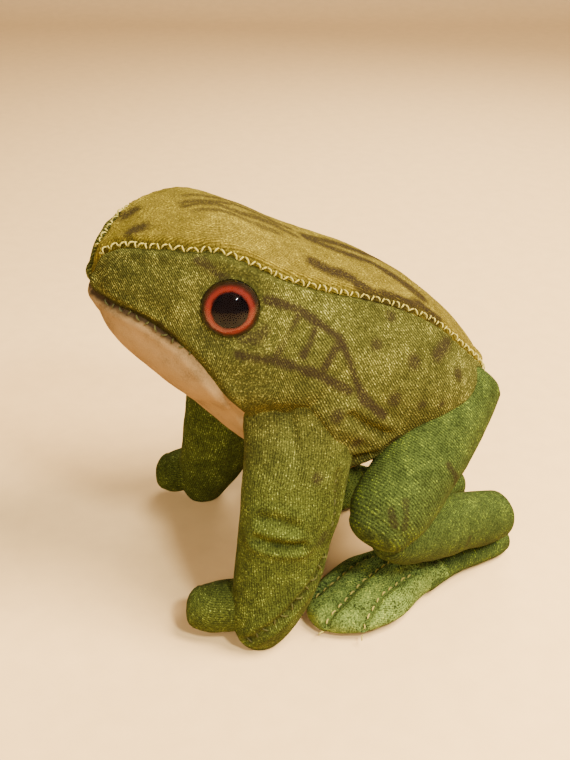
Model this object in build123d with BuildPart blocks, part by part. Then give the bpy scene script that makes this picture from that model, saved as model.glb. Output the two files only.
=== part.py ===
"""Small sitting frog, sewn from velvet and stuffed, with glass eyes.

The frog sits with its snout towards -Y and its left side towards +X. The floor is z = 0 and the origin
is on the floor under the middle of the frog. Its cloth pieces are thin shells around their stuffing.
The hind legs swing outwards at the hips, the foot pads lift at the ankles and the hands bend at the wrists.
"""
import os
from math import cos, radians, sin

from build123d import *

# Overall sizes
overall_length = 80.0      # snout tip to the back of the heels
overall_height = 78.5      # floor to the top of the head
body_width = 45.0          # across the flanks

# Cloth and thread
cloth = 0.8                # velvet with its pile and backing
thread = 0.5               # sewing thread, two strands lying together
stitch_pitch = 2.2         # from one stitch to the next
stitch_length = 1.7        # the part of a stitch that shows
room = 0.35                # clearance between pieces that move past each other

# Limbs
arm_width = 13.0           # side to side, at the elbow
arm_depth = 17.6           # front to back, at the elbow
finger_width = 9.6         # the forward lobe of the hand
thigh_width = 15.6         # across the thickest part of the thigh
shin_width = 11.6          # across the thickest part of the shin
heel_width = 9.0           # flat strip between the heel and the foot pad
foot_length = 26.0         # foot pad, ankle to toes
foot_width = 19.6          # foot pad, at its widest
pad_thickness = 5.2        # foot pad and heel strip

# Glass eyes
eye_diameter = 10.0
eye_dome = 3.2             # how far the glass stands out
iris_diameter = 9.0
iris_thickness = 0.6
pupil_diameter = 6.3
pupil_thickness = 0.8
eye_back_thickness = 0.5   # metal pad that holds the wire loop
wire = 0.8                 # wire of the loop
loop_diameter = 2.8        # wire loop, middle of the wire

wrist_bend = 15.0          # how far a hand bends at its wrist, degrees

# The two arms don't sit quite alike: the right one is sewn on a little further back, and both
# finger lobes point towards the frog's right.
arm_set_back = {"left": 0.0, "right": 0.4}
finger_turn = {"left": 26.0, "right": -27.0}       # from straight ahead, towards the body's middle
finger_length = {"left": 16.2, "right": 12.4}
SIDES = {"left": 1, "right": -1}

# Where a form runs out to a tip, its last oval is never slimmer than this share of the form's width
TIP = 0.05


# Places are given in percent: out of half the body's width, along the frog's length from the snout,
# and up its height.
def out(percent):
    return body_width / 2 * percent / 100


def along(percent):
    return overall_length * (percent / 100 - 0.5)


def up(percent):
    return overall_height * percent / 100


# ---------------------------------------------------------------- trunk and head
# One row per cross-section: along, top, bottom, half width, height of the widest place,
# shoulder point of the back (out, up) and of the belly (out, up).
BODY = [
    (0.0, 87.0, 77.0, 20, 82.0, 12.5, 86.0, 12.5, 77.8),
    (3.0, 92.0, 71.0, 42, 81.5, 30.0, 90.5, 31.0, 73.0),
    (10.0, 96.5, 63.0, 64, 80.0, 49.0, 94.0, 47.0, 66.0),
    (17.5, 98.7, 55.5, 77, 77.0, 61.0, 95.3, 56.0, 59.5),
    (26.0, 99.2, 46.5, 86, 72.5, 67.5, 94.7, 64.0, 51.7),
    (36.0, 95.2, 38.2, 95, 66.0, 69.0, 89.0, 70.0, 44.6),
    (47.5, 89.0, 33.0, 100, 61.0, 69.0, 83.0, 69.0, 39.5),
    (60.0, 83.4, 32.5, 100, 57.3, 66.5, 77.7, 66.5, 38.8),
    (72.5, 75.6, 34.4, 93, 54.8, 59.5, 71.4, 60.0, 40.1),
    (82.5, 67.0, 38.2, 75, 52.9, 46.0, 63.5, 48.0, 42.7),
    (89.0, 58.6, 42.7, 49, 51.0, 29.0, 56.7, 30.0, 44.6),
    (91.6, 53.3, 47.1, 20, 50.4, 12.5, 52.7, 12.5, 47.9),
]
# The two back seams, seen from above: along, out
BACK_SEAM = [(0.0, 4), (3.5, 14), (10.0, 44), (18.0, 62), (27.0, 70), (36.0, 71), (48.0, 67),
             (60.0, 62), (73.0, 56), (82.5, 51), (88.0, 40), (93.0, 30)]
# The seam between velvet and belly cloth, seen from the side: along, up
BELLY_SEAM = [(-2.0, 83.5), (3.0, 82.5), (10.0, 78.5), (17.5, 72.5), (26.0, 61.0), (32.5, 47.5),
              (38.0, 44.0), (50.0, 41.5), (62.0, 42.0), (74.0, 46.0), (84.0, 49.5), (93.0, 50.0)]
BACK_SEAM_ENDS = (1, 10)   # first and last point of BACK_SEAM that is stitched
JAW_ENDS = (1, 5)          # the same for BELLY_SEAM in front of the arm
FLANK_ENDS = (7, 10)       # and behind it
CLOSING_SEAM = (70.0, 88.0)            # along, in the middle of the belly cloth
NECK = 40.0                # along, where the head's stuffing meets the trunk's


def body_section(row, grow):
    """The row's plane position and its eight outline points, moved outwards by grow."""
    position, top, bottom, half, waist, back_out, back_up, belly_out, belly_up = row
    wider = 1 + grow / out(half)
    middle, half_height = up((top + bottom) / 2), up((top - bottom) / 2)
    taller = 1 + grow / half_height

    def point(percent_out, percent_up):
        return (out(percent_out) * wider, middle + (up(percent_up) - middle) * taller)

    one_side = [point(back_out, back_up), point(half, waist), point(belly_out, belly_up)]
    other_side = [(-x, z) for x, z in reversed(one_side)]
    return along(position), [point(0, top), *one_side, point(0, bottom), *other_side]


def body_solid(grow):
    """The trunk and head as one closed form, grow millimetres outside the velvet's surface."""
    with BuildPart() as form:
        for number, row in enumerate(BODY):
            position, points = body_section(row, grow)
            if number == 0:
                position -= grow
            if number == len(BODY) - 1:
                position += grow
            with BuildSketch(Plane.XZ.offset(-position)):
                with BuildLine():
                    Spline(*points, periodic=True)
                make_face()
        loft()
    return form.part


def side_view_region(points, top):
    """Everything above (or below) a line drawn in side view, as a prism right through the frog."""
    far = overall_height * (1.5 if top else -0.5)
    line = [(along(a), up(z)) for a, z in points]
    line = [(-overall_length, line[0][1]), *line, (overall_length, line[-1][1])]
    with BuildPart() as region:
        with BuildSketch(Plane.YZ):
            with BuildLine():
                Polyline(*line, (overall_length, far), (-overall_length, far), close=True)
            make_face()
        extrude(amount=body_width, both=True)
    return region.part


def oval_loft(rows):
    """A closed form through ovals: each row is a plane and the oval's two half sizes."""
    with BuildPart() as form:
        for plane, half_x, half_y in rows:
            with BuildSketch(plane):
                Ellipse(half_x, half_y)
        loft()
    return form.part


def half_space(plane):
    """A large block that fills the side its plane's normal points to."""
    size = 4 * overall_length
    with BuildPart() as block:
        with BuildSketch(plane):
            Rectangle(size, size)
        extrude(amount=size)
    return block.part


def round_bar(plane, radius, length):
    """A bar centred on the plane's origin and lying along its normal."""
    with BuildPart() as bar:
        with BuildSketch(plane):
            Circle(radius)
        extrude(amount=length / 2, both=True)
    return bar.part


floor_up = half_space(Plane.XY)
floor_and_cloth_up = half_space(Plane.XY.offset(cloth))
body_outer = body_solid(0.0)
body_inner = body_solid(-cloth)

# ---------------------------------------------------------------- arms and hands
# One row per level oval of the arm: out, along, up, and shares of arm_width and arm_depth
ARM = [(64.0, 37.8, 68.0, 0.62, 0.70), (75.0, 37.5, 60.0, 0.92, 0.91), (89.0, 37.5, 48.5, 1.0, 0.97),
       (102.0, 36.3, 35.5, 1.0, 1.02),
       (105.5, 34.4, 25.5, 0.98, 0.98), (107.0, 33.5, 20.0, 0.97, 0.95), (110.5, 31.3, 11.5, 0.90, 0.85),
       (112.5, 29.3, 5.0, 0.72, 0.64), (113.0, 28.4, 0.0, 0.42, 0.36)]
ELBOW = 2                  # the row from which the arm's seam runs straight down to the hand
WRIST = 4                  # the row whose oval holds the wrist's axis
ARM_SEAM_TOP, ARM_SEAM_BOTTOM = 41.0, 30.0     # height of the stitched stretch
HAND_SEAM_TOP, HAND_SEAM_BOTTOM = 24.0, 6.0
WRIST_TUCK = 0.2           # the hand's rounded top is this much slimmer than the arm
# One row per upright oval of the finger lobe: share of its length, up, share of its width, height/width
FINGER = [(0.15, 9.5, 0.90, 1.0), (0.50, 8.2, 1.0, 1.02), (0.78, 6.6, 0.94, 1.0),
          (0.93, 5.9, 0.70, 0.95), (1.0, 5.4, 0.30, 0.9)]


def arm_ovals(side, inset):
    rows = []
    for number, (percent_out, percent_along, percent_up, wide, deep) in enumerate(ARM):
        back = arm_set_back[side] * min(number, WRIST) / WRIST
        middle = (SIDES[side] * out(percent_out), along(percent_along) + back, up(percent_up))
        rows.append((Plane(origin=middle), arm_width / 2 * wide - inset, arm_depth / 2 * deep - inset))
    return rows


def finger_ovals(side, inset):
    hand = arm_ovals(side, 0)[-3][0].origin
    turn = radians(finger_turn[side])
    ahead = Vector(-SIDES[side] * sin(turn), -cos(turn), 0)
    rows = []
    for share, percent_up, wide, tall in FINGER:
        place = hand + ahead * (finger_length[side] * share - (inset if share == 1.0 else 0))
        half = max(finger_width / 2 * wide - inset, finger_width * TIP)
        plane = Plane(origin=(place.X, place.Y, up(percent_up)), x_dir=(-ahead.Y, ahead.X, 0), z_dir=ahead)
        rows.append((plane, half, half * tall))
    return rows


def arm_seam_plane(side):
    """The upright plane between the outer and the inner panel, facing the body."""
    top, bottom = arm_ovals(side, 0)[ELBOW][0].origin, arm_ovals(side, 0)[-2][0].origin
    down = bottom - top
    return Plane(origin=bottom, x_dir=(0, 1, 0), z_dir=down.cross(Vector(0, SIDES[side], 0)))


arms, hands = {}, {}
for side in SIDES:
    wrist_middle = arm_ovals(side, 0)[WRIST][0].origin
    wrist_radius = arm_depth / 2 * ARM[WRIST][4] - WRIST_TUCK
    wrist_axis = Plane(origin=wrist_middle, x_dir=(0, 1, 0), z_dir=(1, 0, 0))
    for layer, inset in (("outer", 0.0), ("inner", cloth)):
        limb = oval_loft(arm_ovals(side, inset))
        finger = oval_loft(finger_ovals(side, inset))
        lip = wrist_radius * sin(radians(wrist_bend)) + room + inset
        with BuildPart() as arm:
            add(limb)
            add(half_space(Plane.XY.offset(wrist_middle.Z + lip)), mode=Mode.INTERSECT)
            add(round_bar(wrist_axis, wrist_radius + room + inset, 4 * arm_width), mode=Mode.SUBTRACT)
        with BuildPart() as hand_top:
            add(limb)
            add(round_bar(wrist_axis, wrist_radius - inset, 4 * arm_width), mode=Mode.INTERSECT)
        with BuildPart() as hand:
            add(limb)
            add(half_space(Plane.XY.offset(wrist_middle.Z)), mode=Mode.SUBTRACT)
            add(hand_top.part)
            add(finger)
            add(floor_up if layer == "outer" else floor_and_cloth_up, mode=Mode.INTERSECT)
        arms[side, layer] = arm.part
        hands[side, layer] = hand.part

# ---------------------------------------------------------------- hind legs, folded
# Left leg; the right one is its mirror image. Thigh and shin: out, along, up, share of the width,
# height/width.
THIGH = [(38, 88.0, 52.0, 0.40, 1.0), (43, 86.0, 50.5, 0.78, 0.95), (64, 77.5, 44.5, 0.96, 1.0),
         (93, 67.0, 37.5, 1.0, 1.03), (115, 58.5, 31.5, 0.94, 1.0), (124.5, 55.0, 28.0, 0.62, 1.0),
         (127.5, 53.9, 26.8, 0.25, 1.0)]
SHIN = [(121, 56.8, 24.5, 0.30, 1.0), (115.5, 59.0, 23.6, 0.72, 0.95), (107, 63.0, 22.0, 0.95, 0.93),
        (87, 73.0, 18.6, 1.02, 0.95), (68, 84.5, 15.2, 1.0, 0.97), (54, 94.0, 12.6, 0.88, 0.97),
        (48, 98.2, 11.4, 0.45, 1.0)]
# Strip under the shin, heel to ankle: out, along, share of heel_width
STRIP = [(48, 97.5, 0.60), (51, 93.0, 0.90), (58, 84.0, 1.0), (68, 76.0, 1.10), (76, 70.5, 1.22)]
# Foot pad: share of foot_length from the ankle, share of foot_width, share of half the width that it
# lies nearer to the body
PAD = [(-0.12, 0.54, 0.0), (0.0, 0.62, 0.05), (0.16, 0.86, 0.18), (0.40, 1.06, 0.14), (0.60, 1.04, 0.07),
       (0.78, 0.87, 0.0), (0.91, 0.60, 0.0), (0.98, 0.34, 0.0), (1.0, 0.15, 0.0)]
PAD_EDGE = 0.45            # share of the pad's thickness that is left where it is narrowest
ANKLE = (73.0, 72.5)       # out, along
HEADING = 20.0             # the pad points this far outwards of straight ahead, degrees
PAD_REST = 0.2             # how deep the pads' round underside is pressed flat by the floor
KNEE_TACK = (112.0, 62.0, 22.0, 34.0)  # out, along, lower and upper end
TOE_LINES = (-0.42, 0.0, 0.42)         # share of half the foot's width
TOE_LINE_ENDS = (0.58, 0.92)           # share of the foot's length


def across(points, number):
    """The plane at one point of a path that the path passes through squarely."""
    before, after = points[max(number - 1, 0)], points[min(number + 1, len(points) - 1)]
    run = Vector(*after) - Vector(*before)
    return Plane(origin=points[number], x_dir=(-run.Y, run.X, 0), z_dir=run)


def leg_ovals(rows, width, inset):
    points = [(out(o), along(a), up(u)) for o, a, u, _, _ in rows]
    ovals = []
    for number, (_, _, _, wide, tall) in enumerate(rows):
        half = max(width / 2 * wide - inset, width * TIP)
        ovals.append((across(points, number), half, half * tall))
    return ovals


def strip_ovals(inset):
    middle = pad_thickness / 2 - PAD_REST
    points = [(out(o), along(a), middle) for o, a, _ in STRIP]
    return [(across(points, n), heel_width / 2 * STRIP[n][2] - inset, pad_thickness / 2 - inset)
            for n in range(len(STRIP))]


ahead = Vector(sin(radians(HEADING)), -cos(radians(HEADING)), 0)
ankle = Vector(out(ANKLE[0]), along(ANKLE[1]), pad_thickness / 2 - PAD_REST)
ankle_axis = Plane(origin=ankle, x_dir=ahead, z_dir=ahead.cross(Vector(0, 0, 1)))
ahead_of_ankle = half_space(Plane(origin=ankle, x_dir=(0, 0, 1), z_dir=ahead))


def pad_ovals(inset):
    ovals = []
    for share, wide, inwards in PAD:
        place = ankle + ahead * (foot_length * share - (inset if share == 1.0 else 0))
        place += Vector(ahead.Y, -ahead.X, 0) * (foot_width / 2 * inwards)
        half = max(foot_width / 2 * wide - inset, foot_width * TIP)
        thick = pad_thickness / 2 * min(1.0, PAD_EDGE + wide) - inset
        ovals.append((Plane(origin=place, x_dir=(-ahead.Y, ahead.X, 0), z_dir=ahead), half, thick))
    return ovals


legs, feet = {}, {}
for layer, inset in (("outer", 0.0), ("inner", cloth)):
    on_floor = floor_up if layer == "outer" else floor_and_cloth_up
    with BuildPart() as thigh:
        add(oval_loft(leg_ovals(THIGH, thigh_width, inset)))
        add(body_solid(room + inset), mode=Mode.SUBTRACT)
    with BuildPart() as shin:
        add(oval_loft(leg_ovals(SHIN, shin_width, inset)))
    with BuildPart() as strip:
        add(oval_loft(strip_ovals(inset)))
        add(ahead_of_ankle, mode=Mode.SUBTRACT)
        add(round_bar(ankle_axis, pad_thickness / 2 + room + inset, 4 * foot_width), mode=Mode.SUBTRACT)
        add(on_floor, mode=Mode.INTERSECT)
    with BuildPart() as pad_end:
        add(oval_loft(pad_ovals(inset)))
        add(round_bar(ankle_axis, pad_thickness / 2 - inset - PAD_REST, 4 * foot_width),
            mode=Mode.INTERSECT)
    with BuildPart() as pad:
        add(oval_loft(pad_ovals(inset)))
        add(ahead_of_ankle, mode=Mode.INTERSECT)
        add(pad_end.part)
        add(on_floor, mode=Mode.INTERSECT)
    legs["thigh", layer], legs["shin", layer], legs["strip", layer] = thigh.part, shin.part, strip.part
    feet[layer] = pad.part

# ---------------------------------------------------------------- glass eyes
EYE_PLACE = (81.5, 25.0, 83.4)         # middle of the glass's flat back: out, along, up
EYE_FACING = (1.0, -0.25, 0.15)        # the way the left eye looks
SHANK_ROOM = 2.2                       # radius of the hole that the wire loop sits in
SHANK_DEPTH = 4.4


def facing_plane(side):
    place, normal = EYE_PLACE, EYE_FACING
    sign = SIDES[side]
    return Plane(origin=(sign * out(place[0]), along(place[1]), up(place[2])), x_dir=(0, 0, 1),
                 z_dir=(sign * normal[0], normal[1], normal[2]))


def disc(plane, diameter, start, thickness):
    with BuildPart() as form:
        with BuildSketch(plane.offset(start)):
            Circle(diameter / 2)
        extrude(amount=thickness)
    return form.part


with BuildPart() as eye_tie:
    loops = [facing_plane(side).offset(-eye_back_thickness - loop_diameter / 2).origin for side in SIDES]
    with BuildSketch(Plane(origin=loops[1], z_dir=loops[0] - loops[1])):
        Circle(thread)
    extrude(amount=(loops[0] - loops[1]).length)

with BuildPart() as eye_seat_cuts:
    for side in SIDES:
        add(disc(facing_plane(side), eye_diameter, 0, overall_length / 4))
        add(disc(facing_plane(side), 2 * SHANK_ROOM, -SHANK_DEPTH, SHANK_DEPTH))

# ---------------------------------------------------------------- the sub-parts
os.makedirs("parts", exist_ok=True)


def finish(builder, label):
    """Label a finished sub-part and write it."""
    builder.part.label = label
    export_step(builder.part, f"parts/{label}.step")


for side in SIDES:
    seat = facing_plane(side)
    with BuildPart() as eye_iris:
        add(disc(seat, iris_diameter, 0, iris_thickness))
    finish(eye_iris, f"{side}_eye_iris")

    with BuildPart() as eye_pupil:
        add(disc(seat, pupil_diameter, iris_thickness, pupil_thickness))
    finish(eye_pupil, f"{side}_eye_pupil")

    with BuildPart() as eye_glass:
        dome_radius = ((eye_diameter / 2) ** 2 + eye_dome ** 2) / (2 * eye_dome)
        with BuildSketch(Plane(origin=seat.origin, x_dir=seat.x_dir, z_dir=-seat.y_dir)):
            with BuildLine():
                rim, crown = (eye_diameter / 2, 0), (0, eye_dome)
                RadiusArc(rim, crown, -dome_radius)
                Polyline(crown, (0, 0), rim)
            make_face()
        revolve(axis=Axis(seat.origin, seat.z_dir))
        add(eye_iris.part, mode=Mode.SUBTRACT)
        add(eye_pupil.part, mode=Mode.SUBTRACT)
    finish(eye_glass, f"{side}_eye_glass")

    with BuildPart() as eye_shank:
        add(disc(seat, loop_diameter + wire, -eye_back_thickness, eye_back_thickness))
        loop_middle = seat.offset(-eye_back_thickness - loop_diameter / 2).origin
        with Locations(Plane(origin=loop_middle, x_dir=seat.z_dir, z_dir=seat.y_dir)):
            Torus(loop_diameter / 2, wire / 2)
    finish(eye_shank, f"{side}_eye_shank")
finish(eye_tie, "eye_tie_thread")

# Head, trunk and arms: one hide, cut into its panels along the seams
with BuildPart() as whole_hide:
    add(body_outer)
    for side in SIDES:
        add(arms[side, "outer"])
    add(body_inner, mode=Mode.SUBTRACT)
    for side in SIDES:
        add(arms[side, "inner"], mode=Mode.SUBTRACT)
    add(eye_seat_cuts.part, mode=Mode.SUBTRACT)

with BuildPart() as back_zone:
    edge = [(out(o), along(a)) for a, o in [(-3, 4), *BACK_SEAM]]
    with BuildSketch(Plane.XY):
        with BuildLine():
            Polyline(*edge, *[(-x, y) for x, y in reversed(edge)], close=True)
        make_face()
    extrude(amount=2 * overall_height)
    add(side_view_region([(row[0], row[4]) for row in BODY], top=True), mode=Mode.INTERSECT)

with BuildPart() as belly_zone:
    add(side_view_region(BELLY_SEAM, top=False))
    add(body_outer, mode=Mode.INTERSECT)

with BuildPart() as back_panel:
    add(whole_hide.part)
    add(back_zone.part, mode=Mode.INTERSECT)
    add(belly_zone.part, mode=Mode.SUBTRACT)
finish(back_panel, "back_panel")

with BuildPart() as belly_panel:
    add(whole_hide.part)
    add(belly_zone.part, mode=Mode.INTERSECT)
finish(belly_panel, "belly_panel")

for side, sign in SIDES.items():
    with BuildPart() as arm_inner_zone:
        add(arms[side, "outer"])
        add(body_outer, mode=Mode.SUBTRACT)
        add(half_space(arm_seam_plane(side)), mode=Mode.INTERSECT)
    with BuildPart() as arm_inner_panel:
        add(whole_hide.part)
        add(arm_inner_zone.part, mode=Mode.INTERSECT)
    finish(arm_inner_panel, f"{side}_arm_inner_panel")

    with BuildPart() as side_panel:
        add(whole_hide.part)
        add(half_space(Plane(origin=(0, 0, 0), x_dir=(0, 1, 0), z_dir=(sign, 0, 0))), mode=Mode.INTERSECT)
        add(back_zone.part, mode=Mode.SUBTRACT)
        add(belly_zone.part, mode=Mode.SUBTRACT)
        add(arm_inner_zone.part, mode=Mode.SUBTRACT)
    finish(side_panel, f"{side}_side_panel")

    with BuildPart() as arm_stuffing:
        add(arms[side, "inner"])
        add(body_inner, mode=Mode.SUBTRACT)
    finish(arm_stuffing, f"{side}_arm_stuffing")

for label, front in (("head_stuffing", True), ("trunk_stuffing", False)):
    with BuildPart() as stuffing:
        add(body_inner)
        add(half_space(Plane(origin=(0, along(NECK), 0), x_dir=(1, 0, 0), z_dir=(0, -1 if front else 1, 0))),
            mode=Mode.INTERSECT)
        if front:
            add(eye_seat_cuts.part, mode=Mode.SUBTRACT)
            add(eye_tie.part, mode=Mode.SUBTRACT)
    finish(stuffing, label)

# Hands: two panels that meet on the arm's seam plane, and their stuffing
for side in SIDES:
    outside = arm_seam_plane(side)
    for name, keep in (("outer", Mode.SUBTRACT), ("inner", Mode.INTERSECT)):
        with BuildPart() as hand_panel:
            add(hands[side, "outer"])
            add(hands[side, "inner"], mode=Mode.SUBTRACT)
            add(half_space(outside), mode=keep)
        finish(hand_panel, f"{side}_hand_{name}_panel")
    with BuildPart() as hand_stuffing:
        add(hands[side, "inner"])
    finish(hand_stuffing, f"{side}_hand_stuffing")

# Hind legs, folded at the knee and tacked there, and their foot pads
with BuildPart() as leg_hide:
    for name in ("thigh", "shin", "strip"):
        add(legs[name, "outer"])
    for name in ("thigh", "shin", "strip"):
        add(legs[name, "inner"], mode=Mode.SUBTRACT)

hip_end, knee_end = THIGH[0], THIGH[-1]
leg_run = Vector(out(knee_end[0] - hip_end[0]), along(knee_end[1]) - along(hip_end[1]), 0)
leg_outside = half_space(Plane(origin=(out(hip_end[0]), along(hip_end[1]), 0), x_dir=leg_run,
                               z_dir=Vector(0, 0, -1).cross(leg_run)))


def finish_pair(builder, label):
    """Write a left sub-part and its mirror image on the right."""
    finish(builder, f"left_{label}")
    with BuildPart() as other_side:
        mirror(builder.part, about=Plane.YZ)
    finish(other_side, f"right_{label}")


for name, keep in (("outer", Mode.INTERSECT), ("inner", Mode.SUBTRACT)):
    with BuildPart() as leg_panel:
        add(leg_hide.part)
        add(leg_outside, mode=keep)
    finish_pair(leg_panel, f"leg_{name}_panel")

with BuildPart() as thigh_stuffing:
    add(legs["thigh", "inner"])
finish_pair(thigh_stuffing, "thigh_stuffing")

with BuildPart() as shin_stuffing:
    add(legs["shin", "inner"])
    add(legs["strip", "inner"])
    add(legs["thigh", "inner"], mode=Mode.SUBTRACT)
finish_pair(shin_stuffing, "shin_stuffing")

with BuildPart() as knee_tack:
    tack_low = Vector(out(KNEE_TACK[0]), along(KNEE_TACK[1]), up(KNEE_TACK[2]))
    tack_high = Vector(out(KNEE_TACK[0]), along(KNEE_TACK[1]), up(KNEE_TACK[3]))
    with BuildSketch(Plane(origin=tack_low, z_dir=tack_high - tack_low)):
        Circle(thread)
    extrude(amount=(tack_high - tack_low).length)
finish_pair(knee_tack, "knee_tack_thread")

sole_level = half_space(Plane.XY.offset(pad_thickness / 2 - PAD_REST))
for name, keep in (("upper", Mode.INTERSECT), ("sole", Mode.SUBTRACT)):
    with BuildPart() as foot_panel:
        add(feet["outer"])
        add(feet["inner"], mode=Mode.SUBTRACT)
        add(sole_level, mode=keep)
    finish_pair(foot_panel, f"foot_{name}")

with BuildPart() as foot_padding:
    add(feet["inner"])
finish_pair(foot_padding, "foot_padding")


# ---------------------------------------------------------------- stitches
def lies_on(form, start, direction):
    """Where a needle from start, going in direction, first meets the form."""
    hits = form.find_intersection_points(Axis(start, direction))
    return min((point for point, _ in hits), key=lambda point: (point - Vector(*start)).dot(Vector(*direction)))


def spaced(points):
    """Places one stitch apart along straight runs between points."""
    line = Polyline(*[Vector(*point) for point in points], mode=Mode.PRIVATE)
    count = max(int(line.length / stitch_pitch), 2)
    return [line.position_at(number / count) for number in range(count + 1)]


def stitch_planes(form, points, direction):
    """One plane per stitch, on the form's surface, its normal lying along the seam."""
    far = Vector(*direction) * -overall_length
    places = [lies_on(form, place + far, direction) for place in spaced(points)]
    return [Plane(origin=(a + b) / 2, z_dir=b - a) for a, b in zip(places, places[1:])]


def sew(planes, label):
    with BuildPart() as seam:
        with Locations(*planes):
            Cylinder(thread / 2, stitch_length)
    finish(seam, label)


for side, sign in SIDES.items():
    first, last = BACK_SEAM_ENDS
    line = [(sign * out(o), along(a), 0) for a, o in BACK_SEAM[first:last]]
    sew(stitch_planes(body_outer, line, (0, 0, -1)), f"{side}_back_seam_stitches")
    belly_planes = []
    for first, last in (JAW_ENDS, FLANK_ENDS):
        line = [(0, along(a), up(u)) for a, u in BELLY_SEAM[first:last]]
        belly_planes += stitch_planes(body_outer, line, (-sign, 0, 0))
    sew(belly_planes, f"{side}_belly_seam_stitches")

    ovals = arm_ovals(side, 0)
    elbow, palm = ovals[ELBOW][0].origin, ovals[-2][0].origin
    for label, form, high, low in (("arm", arms[side, "outer"], ARM_SEAM_TOP, ARM_SEAM_BOTTOM),
                                   ("hand", hands[side, "outer"], HAND_SEAM_TOP, HAND_SEAM_BOTTOM)):
        ends = [elbow + (palm - elbow) * ((elbow.Z - up(level)) / (elbow.Z - palm.Z)) for level in (high, low)]
        sew(stitch_planes(form, ends, (0, -1, 0)), f"{side}_{label}_seam_stitches")

closing_line = [(0, along(a), 0) for a in CLOSING_SEAM]
sew(stitch_planes(body_outer, closing_line, (0, 0, 1)), "closing_seam_stitches")

toe_planes = []
for sideways in TOE_LINES:
    line = [ankle + ahead * (foot_length * share) + Vector(-ahead.Y, ahead.X, 0) * (foot_width / 2 * sideways)
            for share in TOE_LINE_ENDS]
    toe_planes += stitch_planes(feet["outer"], line, (0, 0, -1))
with BuildPart() as toe_stitches:
    with Locations(*toe_planes):
        Cylinder(thread / 2, stitch_length)
finish_pair(toe_stitches, "toe_stitches")
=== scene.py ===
"""Sitting velvet frog: the looks of a small stuffed soft toy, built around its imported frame.

Every form is a surface of two parameters, worked out in millimetres in the frame's own axes: the snout
points to -Y, the frog's left side to +X, and the floor is z = 0.
"""
from math import cos, pi, radians, sin, sqrt

import bpy
import numpy as np
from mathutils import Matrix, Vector


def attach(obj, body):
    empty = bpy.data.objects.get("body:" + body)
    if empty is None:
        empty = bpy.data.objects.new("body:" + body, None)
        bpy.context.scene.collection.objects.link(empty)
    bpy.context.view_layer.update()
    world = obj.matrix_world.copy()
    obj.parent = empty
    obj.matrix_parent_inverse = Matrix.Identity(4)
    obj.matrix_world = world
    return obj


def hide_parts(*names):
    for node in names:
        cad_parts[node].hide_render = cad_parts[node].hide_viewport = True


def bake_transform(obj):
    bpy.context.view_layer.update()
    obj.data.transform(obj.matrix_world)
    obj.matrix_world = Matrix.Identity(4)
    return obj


bl_info = {
    "name": "Velvet Frog",
    "version": (1, 0, 0),
    "blender": (4, 5, 0),
    "location": "3D View > Sidebar > Frog",
    "description": "Sews a small sitting velvet frog with glass eyes",
    "category": "Add Mesh",
}

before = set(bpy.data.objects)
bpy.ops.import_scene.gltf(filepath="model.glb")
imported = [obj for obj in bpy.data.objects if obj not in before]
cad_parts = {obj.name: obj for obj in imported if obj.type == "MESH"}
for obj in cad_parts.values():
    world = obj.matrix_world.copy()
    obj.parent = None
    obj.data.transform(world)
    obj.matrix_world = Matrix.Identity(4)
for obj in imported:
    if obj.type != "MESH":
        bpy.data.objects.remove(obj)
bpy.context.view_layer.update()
MM = 0.001
SIDES = {"left": 1, "right": -1}


# ---------------------------------------------------------------- sizes and colours
def linear(code):
    """An sRGB hex colour as linear RGBA."""
    values = [int(code[i:i + 2], 16) / 255 for i in (1, 3, 5)]
    return [v / 12.92 if v <= 0.04045 else ((v + 0.055) / 1.055) ** 2.4 for v in values] + [1.0]


def length(title, millimetres, description):
    return bpy.props.FloatProperty(name=title, description=description, default=millimetres * MM,
                                   min=0, unit="LENGTH", precision=5)


def colour(title, code, description):
    return bpy.props.FloatVectorProperty(name=title, description=description, default=linear(code),
                                         min=0, max=1, size=4, subtype="COLOR")


class FrogSizes(bpy.types.PropertyGroup):
    overall_length: length("Length", 80.0, "Snout tip to the back of the heels")
    overall_height: length("Height", 78.5, "Floor to the top of the head")
    body_width: length("Width", 45.0, "Across the flanks")
    arm_width: length("Arm width", 13.0, "Side to side, at the elbow")
    arm_depth: length("Arm depth", 17.6, "Front to back, at the elbow")
    finger_width: length("Finger width", 9.6, "The forward lobe of the hand")
    thigh_width: length("Thigh width", 15.6, "Across the thickest part of the thigh")
    shin_width: length("Shin width", 11.6, "Across the thickest part of the shin")
    heel_width: length("Heel width", 9.0, "Flat strip between the heel and the foot pad")
    foot_length: length("Foot length", 26.0, "Foot pad, ankle to toes")
    foot_width: length("Foot width", 19.6, "Foot pad, at its widest")
    pad_thickness: length("Pad thickness", 5.2, "Foot pad and heel strip")
    eye_diameter: length("Eye", 10.0, "Across the glass")
    eye_dome: length("Eye dome", 3.2, "How far the glass stands out")
    iris_diameter: length("Iris", 9.0, "Across the coloured ring")
    pupil_diameter: length("Pupil", 5.2, "Across the black disc, which the dome magnifies by about a third")
    stitch_pitch: length("Stitch pitch", 2.2, "From one stitch to the next")
    thread: length("Thread", 0.3, "Sewing thread, two strands lying together")
    row_pitch: length("Velvet rows", 0.46, "From one row of the velvet's pile to the next")
    grid: length("Grid", 0.42, "Spacing of the points that the surfaces are worked out at")


class FrogColours(bpy.types.PropertyGroup):
    golden: colour("Back velvet", "#574812", "Golden olive velvet along the back")
    olive: colour("Side velvet", "#393611", "Olive velvet of the sides and arms")
    moss: colour("Leg velvet", "#2f3613", "Greener velvet of the legs and feet")
    cream: colour("Belly cloth", "#735934", "Brushed cotton of the throat and belly")
    spray: colour("Markings", "#1d140a", "Dark brown sprayed markings")
    thread: colour("Thread", "#8d7c30", "Pale yellow sewing thread")
    iris: colour("Iris", "#6a2316", "Ring round the pupil")
    floor: colour("Floor", "#d2a86a", "Plain floor")
    wall: colour("Wall", "#bda59b", "Plain backdrop")


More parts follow.
